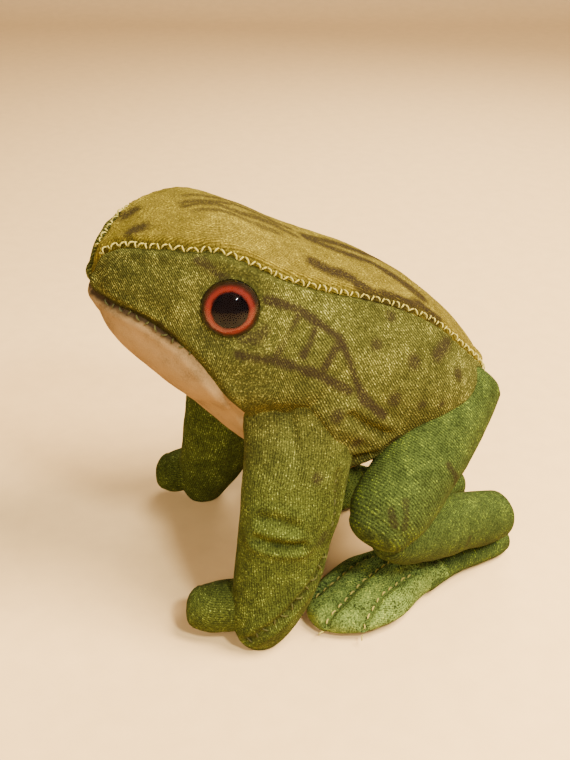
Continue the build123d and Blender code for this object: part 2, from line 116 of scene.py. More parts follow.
def size(name):
    """One of the frog's sizes, in millimetres."""
    return getattr(bpy.context.scene.frog_sizes, name) / MM


def paint(name, light=1.0):
    """One of the frog's colours, linear RGBA, made lighter or darker."""
    value = getattr(bpy.context.scene.frog_colours, name)
    return [min(part * light, 1.0) for part in value[:3]] + [1.0]


# ---------------------------------------------------------------- places in percent of the frog's size
def out(percent):
    return size("body_width") / 2 * np.asarray(percent, float) / 100


def along(percent):
    return size("overall_length") * (np.asarray(percent, float) / 100 - 0.5)


def up(percent):
    return size("overall_height") * np.asarray(percent, float) / 100


# ---------------------------------------------------------------- numbers on whole arrays
def smooth(low, high, value):
    """0 at low, 1 at high and past them, and an S curve between; high may be the lower of the two."""
    t = np.clip((value - low) / (high - low), 0, 1)
    return t * t * (3 - 2 * t)


def unit(vectors):
    return vectors / (np.linalg.norm(vectors, axis=-1, keepdims=True) + 1e-12)


def spline(knots, at):
    """Natural cubic spline through equally spaced knots (n, k), read at positions 0 to n-1."""
    knots = np.asarray(knots, float)
    n = len(knots)
    system = np.eye(n) * 4 + np.eye(n, k=1) + np.eye(n, k=-1)
    system[0], system[-1] = np.eye(n)[0], np.eye(n)[-1]
    right = np.zeros_like(knots)
    right[1:-1] = 6 * (knots[:-2] - 2 * knots[1:-1] + knots[2:])
    bend = np.linalg.solve(system, right)
    at = np.clip(np.asarray(at, float), 0, n - 1)
    i = np.minimum(at.astype(int), n - 2)
    f = (at - i)[..., None]
    g = 1 - f
    return g * knots[i] + f * knots[i + 1] + ((g ** 3 - g) * bend[i] + (f ** 3 - f) * bend[i + 1]) / 6


def closed_spline(points, turn):
    """Smooth closed curves, one per row, through points (m, 8, 2); turn (m, n) runs 0 to 8 round each."""
    points = np.asarray(points, float)
    m, k, _ = points.shape
    ahead = np.roll(points, -1, axis=1) - points
    h = np.linalg.norm(ahead, axis=2)
    h_before = np.roll(h, 1, axis=1)
    index = np.arange(k)
    system = np.zeros((m, k, k))
    system[:, index, index] = 2 * (h + h_before)
    system[:, index, (index + 1) % k] = h
    system[:, index, (index - 1) % k] = h_before
    slope = ahead / h[..., None]
    bend = np.linalg.solve(system, 6 * (slope - np.roll(slope, 1, axis=1)))
    whole = np.floor(turn).astype(int)
    f = (turn - whole)[..., None]
    g = 1 - f
    rows = np.arange(m)[:, None]
    a, b = whole % k, (whole + 1) % k
    scale = h[rows, a][..., None] ** 2 / 6
    curve = (g ** 3 - g) * bend[rows, a] + (f ** 3 - f) * bend[rows, b]
    return g * points[rows, a] + f * points[rows, b] + scale * curve


def hash_noise(cells, seed):
    """A repeatable number from -1 to 1 for each whole-number cell (..., 3)."""
    x = cells[..., 0] * 374761393 + cells[..., 1] * 668265263 + cells[..., 2] * 1274126177 + seed * 144269
    x = (x ^ (x >> 13)) * 1103515245 & 0x7FFFFFFF
    x = (x ^ (x >> 11)) * 12345679 & 0x7FFFFFFF
    return (x & 0xFFFFF) / 0x7FFFF - 1


def noise(places, size, seed=1):
    """Smooth noise from -1 to 1 whose lumps are about size millimetres across."""
    p = np.asarray(places) / size
    cell = np.floor(p).astype(np.int64)
    f = p - cell
    f = f * f * (3 - 2 * f)
    total = 0
    for dx in (0, 1):
        for dy in (0, 1):
            for dz in (0, 1):
                share = np.ones(p.shape[:-1])
                for axis, d in enumerate((dx, dy, dz)):
                    share = share * (f[..., axis] if d else 1 - f[..., axis])
                total = total + share * hash_noise(cell + np.array([dx, dy, dz]), seed)
    return total


def stroke_distance(places, line):
    """Distance in millimetres from each place to a line of straight runs."""
    line = np.asarray(line, float)
    if len(line) == 1:
        return np.linalg.norm(places - line[0], axis=-1)
    nearest = np.full(places.shape[:-1], 1e9)
    for a, b in zip(line, line[1:]):
        run = b - a
        t = np.clip(((places - a) @ run) / (run @ run + 1e-12), 0, 1)
        nearest = np.minimum(nearest, np.linalg.norm(places - a - t[..., None] * run, axis=-1))
    return nearest


def grid_normals(points):
    """Unit normals of a grid (m, n, 3): the cross product of its two directions."""
    return unit(np.cross(np.gradient(points, axis=0), np.gradient(points, axis=1)))


# ---------------------------------------------------------------- meshes
def grid_mesh(name, points, uv, marks=None, closed=False, material=None, cap_start=False, cap_end=False):
    """A mesh from a grid (m, n, 3) in millimetres; closed joins its last column to its first, and a capped
    end is drawn together to one point. uv is (m, n, 2) and marks is {attribute name: (m, n)}."""
    m, n, _ = points.shape
    places = points.reshape(-1, 3)
    i, j = np.meshgrid(np.arange(m - 1), np.arange(n if closed else n - 1), indexing="ij")
    k = (j + 1) % n
    quads = np.stack([i * n + j, i * n + k, (i + 1) * n + k, (i + 1) * n + j], -1).reshape(-1, 4)
    extra, triangles = [], []
    for wanted, row, flip in ((cap_start, 0, True), (cap_end, m - 1, False)):
        if wanted:
            pole = m * n + len(extra)
            extra.append(points[row].mean(0))
            ring = row * n + np.arange(n)
            after = row * n + (np.arange(n) + 1) % n
            fan = [np.full(n, pole), after, ring] if flip else [np.full(n, pole), ring, after]
            triangles.append(np.stack(fan, -1))
    if extra:
        places = np.concatenate([places, np.array(extra)])
    tris = np.concatenate(triangles) if triangles else np.zeros((0, 3), int)
    # the faces run against the grid's two directions, so they are turned where the grid's own normals
    # point away from its middle
    normal = grid_normals(points)
    middle = points.mean(axis=1, keepdims=True) if closed else points.mean(axis=(0, 1), keepdims=True)
    if (normal * (points - middle)).sum() > 0:
        quads, tris = quads[:, ::-1], tris[:, ::-1]
    mesh = bpy.data.meshes.new(name)
    mesh.vertices.add(len(places))
    mesh.vertices.foreach_set("co", (places * MM).astype(np.float32).ravel())
    corners = np.concatenate([quads.ravel(), tris.ravel()]).astype(np.int32)
    starts = np.concatenate([np.arange(len(quads)) * 4, len(quads) * 4 + np.arange(len(tris)) * 3])
    mesh.loops.add(len(corners))
    mesh.loops.foreach_set("vertex_index", corners)
    mesh.polygons.add(len(starts))
    mesh.polygons.foreach_set("loop_start", starts.astype(np.int32))
    mesh.polygons.foreach_set("use_smooth", np.ones(len(starts), bool))
    flat = np.concatenate([uv.reshape(-1, 2), np.zeros((len(extra), 2))]) if extra else uv.reshape(-1, 2)
    mesh.uv_layers.new(name="Cloth").uv.foreach_set("vector", flat[corners].astype(np.float32).ravel())
    for key, values in (marks or {}).items():
        values = np.concatenate([values.ravel(), np.zeros(len(extra))])
        mesh.attributes.new(key, "FLOAT", "POINT").data.foreach_set("value", values.astype(np.float32))
    mesh.update(calc_edges=True)
    mesh.validate()
    if material:
        mesh.materials.append(material)
    piece = bpy.data.objects.new(name, mesh)
    bpy.context.scene.collection.objects.link(piece)
    return piece


def place_piece(piece, body, nodes=(), bend=None):
    """Attach a piece to the body it rides on and hide the nodes it stands for. bend is (other body, start,
    end) in millimetres; only whether it is given is read, and a piece given one is baked where it stands and
    attached to no body.
    """
    if bend:
        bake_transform(piece)
    else:
        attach(piece, body)
    if nodes:
        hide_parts(*nodes)
    return piece


# ---------------------------------------------------------------- trunk and head
# One row per cross-section: along, top, bottom, half width, height of the widest place,
# shoulder point of the back (out, up) and of the belly (out, up)
BODY = [
    (0.0, 87.0, 77.0, 20, 82.0, 12.5, 86.0, 12.5, 77.8),
    (3.0, 92.0, 71.0, 42, 81.5, 30.0, 90.5, 31.0, 73.0),
    (10.0, 96.5, 63.0, 64, 80.0, 49.0, 94.0, 47.0, 66.0),
    (17.5, 98.7, 55.5, 77, 77.0, 61.0, 95.3, 56.0, 59.5),
    (26.0, 99.2, 46.5, 86, 72.5, 67.5, 94.7, 64.0, 51.7),
    (36.0, 95.2, 38.2, 95, 66.0, 69.0, 89.0, 70.0, 44.6),
    (47.5, 89.0, 33.0, 100, 61.0, 69.0, 83.0, 69.0, 39.5),
    (60.0, 83.4, 32.5, 100, 57.3, 66.5, 77.7, 66.5, 38.8),
    (72.5, 75.6, 34.4, 93, 54.8, 59.5, 71.4, 60.0, 40.1),
    (82.5, 67.0, 38.2, 75, 52.9, 46.0, 63.5, 48.0, 42.7),
    (89.0, 58.6, 42.7, 49, 51.0, 29.0, 56.7, 30.0, 44.6),
    (91.6, 53.3, 47.1, 20, 50.4, 12.5, 52.7, 12.5, 47.9),
]
# The back seam, seen from above: along, out
BACK_SEAM = [(0.0, 4), (3.5, 14), (10.0, 44), (18.0, 62), (27.0, 70), (36.0, 71), (48.0, 67),
             (60.0, 62), (73.0, 56), (82.5, 51), (88.0, 40), (93.0, 30)]
# The seam between velvet and belly cloth, seen from the side: along, up
BELLY_SEAM = [(-2.0, 83.5), (3.0, 82.5), (10.0, 78.5), (17.5, 72.5), (26.0, 61.0), (32.5, 47.5),
              (38.0, 44.0), (50.0, 41.5), (62.0, 42.0), (74.0, 46.0), (84.0, 49.5), (93.0, 50.0)]
TIP_BULGE = 0.8            # how far the snout and the tail round off past the last rows, mm
EYE_PLACE = (81.5, 25.0, 83.4)
EYE_FACING = (1.0, -0.25, 0.15)


def body_form(s, turn):
    """Points of the trunk's form. s runs from -1 at the snout's tip to 12 at the tail's, and turn runs
    0 top, 2 widest place, 4 bottom, 6 the right side's widest place and 8 the top again. Each section is a
    closed cubic curve through eight points, and past its end rows the form is drawn in to a point along a
    quarter of an ellipse."""
    s = np.asarray(s, float)
    last = len(BODY) - 1
    row = spline(BODY, np.clip(s, 0, last))
    place, top, bottom, half, waist, back_out, back_up, belly_out, belly_up = np.moveaxis(row, -1, 0)
    nil = np.zeros_like(top)
    x = out(np.stack([nil, back_out, half, belly_out, nil, -belly_out, -half, -back_out], -1))
    z = up(np.stack([top, back_up, waist, belly_up, bottom, belly_up, waist, back_up], -1))
    ring = closed_spline(np.stack([x, z], -1), np.broadcast_to(turn, (len(s), np.shape(turn)[-1])))
    past = np.where(s < 0, -s, np.maximum(s - last, 0))
    shrink, bulge = np.cos(past * pi / 2), np.sin(past * pi / 2) * TIP_BULGE
    middle = np.stack([nil, up((top + bottom) / 2)], -1)
    ring = middle[:, None] + (ring - middle[:, None]) * shrink[:, None, None]
    y = along(place) + np.where(s < 0, -bulge, bulge)
    return np.stack([ring[..., 0], np.broadcast_to(y[:, None], ring.shape[:2]), ring[..., 1]], -1)


def body_normals(s, turn):
    """Outward unit normals of the trunk's form, from points a hair to each side."""
    hair = 0.02
    low, high = np.maximum(s - hair, -0.995), np.minimum(s + hair, len(BODY) - 1 + 0.995)
    down = body_form(high, turn) - body_form(low, turn)
    round_ = body_form(np.clip(s, -0.97, len(BODY) - 0.03), turn + hair) - body_form(
        np.clip(s, -0.97, len(BODY) - 0.03), turn - hair)
    normal = unit(np.cross(round_, down))
    return normal


def seam_turn(s, which):
    """Where round each section a seam lies: the back seam by its distance out, the belly seam by height."""
    s = np.asarray(s, float)
    held = np.clip(s, 0, len(BODY) - 1)
    place = spline(BODY, held)[:, 0]
    if which == "back":
        wanted = out(np.interp(place, *np.transpose(BACK_SEAM)))
        low, high = np.zeros(len(s)), np.full(len(s), 1.985)
    else:
        wanted = up(np.interp(place, *np.transpose(BELLY_SEAM)))
        low, high = np.full(len(s), 2.0), np.full(len(s), 3.9)
    for _ in range(26):
        middle = (low + high) / 2
        point = body_form(held, middle[:, None])[:, 0]
        short = point[:, 0] < wanted if which == "back" else point[:, 2] > wanted
        low, high = np.where(short, middle, low), np.where(short, high, middle)
    turn = (low + high) / 2
    soft = np.convolve(np.pad(turn, 4, mode="edge"), np.ones(9) / 9, mode="valid")
    return soft


# Marks, folds and seams on the left side, in millimetres; the right side carries the same, mirrored
NOSTRIL = [(4.0, -33.2, 75.2), (4.2, -32.0, 75.8)]
MOUTH = [(0, -40.5, 65.6), (5.5, -39.5, 66), (10.5, -36.5, 64.8), (14, -32.5, 62.8), (15, -30.5, 61.2),
         (16, -29, 59.7)]
MOUTH_CORNER = [(14.5, -31.5, 62), (16, -29, 59.7)]
BACK_STRIPES = [
    [(1, -23.5, 78.5), (0.5, -18, 78), (2.5, -14, 76), (1, -7.5, 72.5), (2, -4, 71)],
    [(4, -22.5, 78.5), (4, -18, 78), (5.5, -13, 75.5), (4.5, -7.5, 72.5)],
    [(0.5, -1, 69.5), (2.5, 4.5, 67), (2.5, 10.5, 64), (5, 15.5, 61), (7, 18.5, 58)],
    [(10.5, -3, 68.5), (11, -0.5, 67.5), (11, 2.5, 66), (13.5, 6, 63), (13, 10.5, 61), (12.5, 14, 59.5),
     (10.5, 17.5, 58), (11.5, 20, 55.5)],
    [(15, 21, 52), (18, 18, 51.5)],
]
EAR = [
    [(19, -13.5, 66.5), (19, -8, 64), (19.5, -5, 61), (20.5, -2, 59), (21.5, -0.5, 55), (22, 0.5, 51.5),
     (22.5, 2, 48), (22.5, 6, 44)],
    [(19.5, -19, 58), (20.5, -13.5, 57), (21.5, -10, 55.5), (22, -6, 53.5), (22.5, -0.5, 50)],
    [(19, -8, 64), (20.5, -13.5, 57)],
    [(20, -6, 60.5), (21, -8.5, 57)],
    [(20.5, -2, 58), (22, -5, 54.5)],
]
BROW = [[(19.5, -18.5, 60.5), (20, -16, 60.5), (20, -14.5, 62)],
        [(15.5, -24.5, 73.5), (16.5, -22.5, 72), (17.5, -20.5, 70.5)]]
SPOTS = [((20, 5, 56), 1.2), ((20.5, 12.5, 52), 1.5), ((18, 17.5, 51.5), 0.9), ((18, 22.5, 47), 1.3),
         ((22.5, 8, 46.5), 1.4), ((22, 14, 44), 1.2), ((21, 18, 43), 0.9), ((22.5, -3, 46.5), 1.1),
         ((21.5, 1, 40.5), 1.2), ((20.5, 9, 37.5), 1.1), ((16.4, 9.2, 59.4), 1.3), ((17, -8, 71), 1.0)]
FOLDS = [[(22.5, -0.5, 45.5), (21.5, 7, 39.5)], [(20, -0.5, 37), (19.5, 4.5, 35.5)]]


def body_marks(points):
    """How strongly the sprayed markings cover each place of the trunk, 0 to 1: soft-edged strokes whose
    width wanders with a slow noise, darkest along their middles."""
    folded = points.copy()
    folded[..., 0] = np.abs(folded[..., 0])
    wander = noise(points, 2.4, 11)
    total = np.zeros(points.shape[:-1])

    def add(line, width, strength, places=folded):
        nonlocal total
        d = stroke_distance(places, line) + 0.35 * wander
        total = np.maximum(total, strength * (1 - smooth(width * 0.25, width, d)))

    for number, line in enumerate(BACK_STRIPES):
        add(line, (1.9, 1.7, 2.7, 2.6, 2.2)[number], (0.85, 0.75, 1.0, 1.0, 0.9)[number])
    for number, line in enumerate(EAR):
        add(line, (1.35, 1.3, 1.2, 1.15, 1.15)[number], (0.95, 0.9, 0.95, 0.9, 0.9)[number])
    for line in BROW:
        add(line, 1.5, 0.75)
    add(MOUTH_CORNER, 1.5, 0.9)
    add(NOSTRIL, 3.0, 1.0)
    for place, width in SPOTS:
        add([place], width * 1.5, 0.8)
    return total


def eye_seat(side):
    place = np.array([side * out(EYE_PLACE[0]), along(EYE_PLACE[1]), up(EYE_PLACE[2])])
    facing = np.array([side * EYE_FACING[0], EYE_FACING[1], EYE_FACING[2]])
    return place, facing / np.linalg.norm(facing)


def body_seam_lines():
    """The back seam and the belly seam as lines of points on the form."""
    s = np.linspace(-0.9, len(BODY) - 0.15, 160)
    lines = {}
    for name in ("back", "belly"):
        turn = seam_turn(s, name)
        lines[name] = body_form(s, turn[:, None])[:, 0]
    return lines


def stuffed(points, normals, lines):
    """The sewn cloth's own relief on the trunk: slow lumps of stuffing, fine crumple, the two seams pulled
    in with the cloth puckered from stitch to stitch beside them, the hollow that the eye's tie pulls, and
    the folds behind the arms. Returns the moved points and how close each is to a seam."""
    folded = points.copy()
    folded[..., 0] = np.abs(folded[..., 0])
    rise = 0.26 * noise(points, 8.5, 3) + 0.1 * noise(points, 3.6, 5) + 0.035 * noise(points, 1.5, 7)
    near = np.full(points.shape[:-1], 1e9)
    for name, line in lines.items():
        distance = stroke_distance(folded, line)
        run = folded @ unit(np.array([0.1, 1.0, -0.25]))
        pucker = 0.5 + 0.5 * np.cos(run * 2 * pi / size("stitch_pitch"))
        strength = 1.0 if name == "back" else 0.62
        rise = rise - strength * (0.95 * np.exp(-(distance / 0.75) ** 2)
                                  - 0.42 * np.exp(-((distance - 1.7) / 1.0) ** 2)
                                  + 0.2 * pucker * np.exp(-((distance - 0.9) / 1.2) ** 2))
        near = np.minimum(near, distance)
    place, _ = eye_seat(1)
    reach = np.linalg.norm(folded - place, axis=-1)
    rise = rise - 1.25 * np.exp(-(reach / 6.3) ** 2) + 0.55 * np.exp(-((reach - 8.2) / 2.3) ** 2)
    for line in FOLDS:
        d = stroke_distance(folded, line)
        rise = rise - 0.9 * np.exp(-(d / 0.8) ** 2) + 0.45 * np.exp(-((d - 2.0) / 1.1) ** 2)
    behind = np.maximum(smooth(-12, -3, folded[..., 1]), smooth(44, 52, folded[..., 2]))
    rise = rise + meeting_swell(arm_distance(folded, "left")) * behind
    mouth = stroke_distance(folded, MOUTH)
    rise = rise - 0.3 * np.exp(-(mouth / 0.6) ** 2)
    return points + normals * rise[..., None], near


def even_rows(spacing):
    """Row positions that lie evenly along the back, from the snout's tip to the tail's."""
    fine = np.linspace(-0.998, len(BODY) - 1 + 0.998, 3000)
    line = body_form(fine, np.array([[1.0]]))[:, 0]
    travelled = np.concatenate([[0], np.cumsum(np.linalg.norm(np.diff(line, axis=0), axis=1))])
    return np.interp(np.linspace(0, travelled[-1], int(travelled[-1] / spacing)), travelled, fine)


def body_panel(name, turn_from, turn_to, columns, lines, material):
    """One cut panel of the trunk: a grid between two seams, with its edges turned in under the seam."""
    s = even_rows(size("grid"))
    share = np.concatenate([[0, 0.0], np.linspace(0, 1, columns), [1.0, 1.0]])
    start, end = turn_from(s), turn_to(s)
    turn = start[:, None] + (end - start)[:, None] * share
    flat, normals = body_form(s, turn), body_normals(s, turn)
    points, near = stuffed(flat, normals, lines)
    for column, depth in ((0, 1.6), (1, 0.8), (-2, 0.8), (-1, 1.6)):
        points[:, column] -= normals[:, column] * depth
    middle = flat[:, flat.shape[1] // 2]
    travelled = np.concatenate([[0], np.cumsum(np.linalg.norm(np.diff(middle, axis=0), axis=1))])
    across = np.cumsum(np.linalg.norm(np.diff(flat, axis=1, prepend=flat[:, :1]), axis=2), axis=1)
    across = across - across[:, [flat.shape[1] // 2]]
    uv = np.stack([across, np.broadcast_to(travelled[:, None], across.shape)], -1)
    folded = flat * np.where(flat < 0, [-1, 1, 1], [1, 1, 1])
    lip = stroke_distance(folded, lines["belly"]) + 0.2 * noise(flat, 1.4, 13)
    mouth = 0.9 * (1 - smooth(0.4, 1.25, lip)) * smooth(-28.3, -29.8, flat[..., 1])
    # the seam mark is painted shade within about 1.6 mm of the pulled-in seams
    marks = {"spray": np.maximum(body_marks(flat), mouth), "seam": 1 - smooth(0.3, 1.6, near)}
    return grid_mesh(name, points, uv, marks, material=material)


# ---------------------------------------------------------------- limbs
# One row per level oval of the arm: out, along, up, and shares of arm_width and arm_depth
ARM = [(64.0, 37.8, 68.0, 0.62, 0.70), (75.0, 37.5, 60.0, 0.92, 0.91), (89.0, 37.5, 48.5, 1.0, 0.97),
       (102.0, 36.3, 35.5, 1.0, 1.02), (105.5, 34.4, 25.5, 0.98, 0.98), (107.0, 33.5, 20.0, 0.97, 0.95),
       (110.5, 31.3, 11.5, 0.90, 0.85), (112.5, 29.3, 5.0, 0.72, 0.64), (113.0, 28.4, 0.0, 0.42, 0.36)]
WRIST = 4
ARM_SET_BACK = {"left": 0.0, "right": 0.4}
# The finger lobe: share of its length, up, share of its width, height/width
FINGER = [(0.05, 10.5, 0.80, 1.0), (0.30, 9.2, 0.98, 1.04), (0.50, 8.2, 1.0, 1.02), (0.70, 7.2, 0.99, 1.0),
          (0.86, 6.7, 0.86, 0.98)]
FINGER_TURN = {"left": 26.0, "right": -27.0}
FINGER_LENGTH = {"left": 16.2, "right": 12.4}
# Thigh and shin: out, along, up, share of the width, height/width
THIGH = [(43, 86.0, 50.5, 0.78, 0.95), (64, 77.5, 44.5, 0.96, 1.0),
         (93, 67.0, 37.5, 1.0, 1.03), (114, 58.9, 31.8, 0.95, 1.0), (122.5, 55.6, 28.6, 0.74, 1.0)]
SHIN = [(115.5, 59.0, 23.6, 0.72, 0.95), (107, 63.0, 22.0, 0.95, 0.93),
        (87, 73.0, 18.6, 1.02, 0.95), (68, 84.5, 15.2, 1.0, 0.97), (54, 94.0, 12.6, 0.88, 0.97)]
# Flat strip under the shin, heel to ankle: out, along, share of heel_width
STRIP = [(48, 97.5, 0.60), (51, 93.0, 0.90), (58, 84.0, 1.0), (68, 76.0, 1.10), (76, 70.5, 1.22)]
# Foot pad: share of foot_length from the ankle, share of foot_width, share of half the width that it
# lies nearer to the body
PAD = [(-0.12, 0.54, 0.0), (0.0, 0.62, 0.05), (0.16, 0.86, 0.18), (0.40, 1.06, 0.14), (0.60, 1.04, 0.07),
       (0.78, 0.87, 0.0), (0.91, 0.62, 0.0), (0.98, 0.38, 0.0)]
ANKLE = (73.0, 72.5)
HEADING = 20.0
PAD_CROWN = 2.2            # how much higher the padding stands in the middle of a foot, mm
PAD_EASE = 0.92             # share of its CAD width that a foot pad keeps, to clear the hand


def tube_points(centres, half_wide, half_tall, wide_way, tall_way, rows, columns):
    """Points of a closed tube. The centres, half sizes and the two directions are splined along it, each
    section is an oval, and both ends are rounded by a quarter of an ellipse."""
    n = len(centres)
    cap = 9
    s = np.concatenate([np.zeros(cap), np.linspace(0, n - 1, rows), np.full(cap, n - 1)])
    swell = np.concatenate([np.linspace(0.04, 0.97, cap), np.ones(rows), np.linspace(0.97, 0.04, cap)])
    centre, wide, tall = spline(centres, s), spline(half_wide, s), spline(half_tall, s)
    a, b = unit(spline(wide_way, s)), unit(spline(tall_way, s))
    run = unit(np.cross(a, b))
    push = np.sqrt(np.maximum(1 - swell ** 2, 0)) * np.minimum(wide, tall)[:, 0]
    first = spline(centres, np.array([0.0, 0.05]))
    sign = np.sign(((first[1] - first[0]) * run[0]).sum()) or 1.0
    ends = np.concatenate([-np.ones(cap), np.zeros(rows), np.ones(cap)]) * sign
    centre = centre + run * (push * ends)[:, None] * 0.55
    angle = np.linspace(pi, 3 * pi, columns, endpoint=False)
    ring = (a[:, None] * (wide * swell[:, None])[:, None] * np.cos(angle)[:, None]
            + b[:, None] * (tall * swell[:, None])[:, None] * np.sin(angle)[:, None])
    return centre[:, None] + ring, s, angle


def tube_uv(points):
    """Millimetres along a tube and round it, counted from the middle of its outer side."""
    round_ = np.linalg.norm(np.diff(points, axis=1, append=points[:, :1]), axis=2)
    across = np.cumsum(round_, axis=1) - round_
    middle = points.mean(axis=1)
    travelled = np.concatenate([[0], np.cumsum(np.linalg.norm(np.diff(middle, axis=0), axis=1))])
    return np.stack([across, np.broadcast_to(travelled[:, None], across.shape)], -1)


def pressed_flat(points):
    """Where a stuffed piece meets the floor it flattens: a height z becomes half of z plus the root of z
    squared plus a small softness squared, so nothing passes below the floor and the edge stays round."""
    z = points[..., 2]
    points[..., 2] = (z + np.sqrt(z ** 2 + 0.5)) / 2 - 0.02
    return points


def limb_relief(points, creases=(), seams=(), lumps=0.22, seed=21):
    """A stuffed limb's relief: slow lumps, fine crumple, soft creases and seams pulled in with their edges
    standing up beside them. Returns the moved points and how close each is to a seam."""
    normals = closed_normals(points)
    rise = lumps * noise(points, 6.5, seed) + 0.09 * noise(points, 2.8, seed + 2) + 0.03 * noise(
        points, 1.3, seed + 4)
    near = np.full(points.shape[:-1], 1e9)
    for line, depth, width in creases:
        d = stroke_distance(points, line)
        groove, lip = np.exp(-(d / width) ** 2), np.exp(-((d - 2.2 * width) / width) ** 2)
        rise = rise - depth * groove + 0.4 * depth * lip
    for line in seams:
        d = stroke_distance(points, line)
        rise = rise - 0.75 * np.exp(-(d / 0.7) ** 2) + 0.32 * np.exp(-((d - 1.6) / 0.9) ** 2)
        near = np.minimum(near, d)
    return points + normals * rise[..., None], near


def closed_normals(points):
    """Outward unit normals of a closed tube's points."""
    down = np.gradient(points, axis=0)
    around = (np.roll(points, -1, axis=1) - np.roll(points, 1, axis=1)) / 2
    normal = unit(np.cross(around, down))
    middle = points.mean(axis=1, keepdims=True)
    return normal if (normal * (points - middle)).sum() > 0 else -normal


def tube_piece(name, points, marks, material):
    return grid_mesh(name, points, tube_uv(points), marks, closed=True, material=material,
                     cap_start=True, cap_end=True)


def grid_counts(length_mm, round_mm):
    return int(length_mm / size("grid")), int(round_mm / size("grid") / 2) * 2


def arm_rows(side):
    k = SIDES[side]
    rows = np.array(ARM, float)
    back = ARM_SET_BACK[side] * np.minimum(np.arange(len(rows)), WRIST) / WRIST
    centres = np.stack([k * out(rows[:, 0]), along(rows[:, 1]) + back, up(rows[:, 2])], -1)
    return centres, size("arm_width") / 2 * rows[:, 3:4], size("arm_depth") / 2 * rows[:, 4:5]


def arm_distance(points, side):
    """Roughly how far each place is outside the arm: its level oval's size at that height, scaled."""
    centres, wide, deep = arm_rows(side)
    order = np.argsort(centres[:, 2])
    z = np.clip(points[..., 2], 0, None)
    read = [np.interp(z, centres[order, 2], values[order]) for values in
            (centres[:, 0], centres[:, 1], wide[:, 0], deep[:, 0])]
    above = np.maximum(points[..., 2] - centres[:, 2].max(), 0)
    flat = np.sqrt(((points[..., 0] - read[0]) / read[2]) ** 2 + ((points[..., 1] - read[1]) / read[3]) ** 2)
    return np.hypot((flat - 1) * np.minimum(read[2], read[3]) * (flat > 1), above) + \
        (flat - 1) * np.minimum(read[2], read[3]) * (flat <= 1)


def body_distance(points):
    """How far each place is outside the trunk, measured along the normal of the nearest of a few thousand
    points of its form."""
    s, turn = np.linspace(-0.9, len(BODY) - 0.1, 90), np.linspace(0, 8, 96, endpoint=False)[None]
    places = body_form(s, turn).reshape(-1, 3)
    normals = body_normals(s, turn).reshape(-1, 3)
    flat = points.reshape(-1, 3)
    result, index = np.empty(len(flat)), np.empty(len(flat), int)
    for start in range(0, len(flat), 4000):
        chunk = flat[start:start + 4000]
        squared = (chunk ** 2).sum(1)[:, None] + (places ** 2).sum(1)[None] - 2 * chunk @ places.T
        nearest = squared.argmin(axis=1)
        result[start:start + 4000] = ((chunk - places[nearest]) * normals[nearest]).sum(1)
        index[start:start + 4000] = nearest
    return result.reshape(points.shape[:-1]), normals[index].reshape(points.shape)


SHOULDER = (33.0, 62.0)    # the heights between which the arm sinks into the side, mm
MEETING = 14.0             # how far from their join the arm and the side swell towards each other, mm


def meeting_swell(distance):
    """How far two soft forms swell where they meet: what is left of MEETING, squared, over 4 MEETING."""
    return np.maximum(MEETING - np.abs(distance), 0) ** 2 / (4 * MEETING)


ARM_SEAM = [(26.2, -3.6, 35), (26.8, -3.8, 28), (27.4, -4.8, 20.5), (29.2, -8, 15.5), (30.8, -13.5, 10),
            (30.2, -18, 6.5), (28.5, -20.5, 3.5)]
WRIST_CREASES = [([(28, -18.5, 25), (29, -17, 24.5), (30, -11, 23.5)], 1.15, 0.8),
                 ([(27.5, -17.5, 29), (28.5, -15.5, 29), (29.5, -12, 27.5)], 0.7, 0.9)]
ARM_SPOTS = [([(27.5, -7.5, 35.5)], 1.7, 0.8), ([(27, -12, 42), (27.5, -10.5, 40)], 1.3, 0.45),
             ([(29, -6, 24.5), (29.5, -7, 22.5)], 1.4, 0.5)]


def moved_side(line, side):
    line = np.array(line, float)
    line[:, 0] *= SIDES[side]
    line[:, 1] += ARM_SET_BACK[side]
    return line


def strokes(points, side, marks):
    """Soft-edged sprayed strokes, each (line, width, strength), on one side's limb."""
    wander = noise(points, 2.2, 31)
    total = np.zeros(points.shape[:-1])
    for line, width, strength in marks:
        d = stroke_distance(points, moved_side(line, side)) + 0.35 * wander
        total = np.maximum(total, strength * (1 - smooth(width * 0.3, width, d)))
    return total


def leg_rows(rows, width, side):
    """Centres, half sizes and the two directions of a leg's ovals, each square to the leg's run."""
    rows = np.array(rows, float)
    centres = np.stack([out(rows[:, 0]), along(rows[:, 1]), up(rows[:, 2])], -1)
    run = np.gradient(centres, axis=0)
    across = unit(np.stack([-run[:, 1], run[:, 0], np.zeros(len(rows))], -1))
    upward = unit(np.cross(run, across))
    for values in (centres, across, upward):
        values[:, 0] *= SIDES[side]
    half = width / 2 * rows[:, 3:4]
    return centres, half, half * rows[:, 4:5], across, upward


THIGH_MARKS = [([(26.5, 17.5, 33.5), (26, 19.5, 29.5)], 1.3, 0.8),
               ([(31.5, 5, 29.5), (32.5, 5.5, 26.5)], 1.1, 0.7),
               ([(31, 8, 30), (33, 7.5, 25.5)], 1.0, 0.6), ([(21, 26.5, 32.5), (21.5, 25.5, 32)], 1.0, 0.6),
               ([(24, 12, 40), (25, 10, 39)], 1.3, 0.45)]
SHIN_MARKS = [([(13, 31, 13.5), (16.5, 30, 14.5)], 1.0, 0.7), ([(15.5, 34.5, 11)], 1.1, 0.6),
              ([(22.5, 25, 13.5), (22.5, 24.5, 12)], 1.0, 0.7), ([(14, 21, 5), (18, 21.5, 4.5)], 1.1, 0.8),
              ([(27, 16, 21), (28, 14, 22)], 1.1, 0.4)]
TOE_GROOVES = [[(20.6, -5.4, 4), (18.3, -0.8, 5), (14.6, 5.5, 5), (13.2, 10.5, 5)],
               [(28.9, -7.2, 4), (26.2, -3.2, 5), (21.0, 4.5, 5), (16.8, 11.5, 5)],
               [(32.4, 0.0, 4), (29.6, 1.8, 5), (25.6, 6.0, 5), (20.8, 14.5, 5)]]


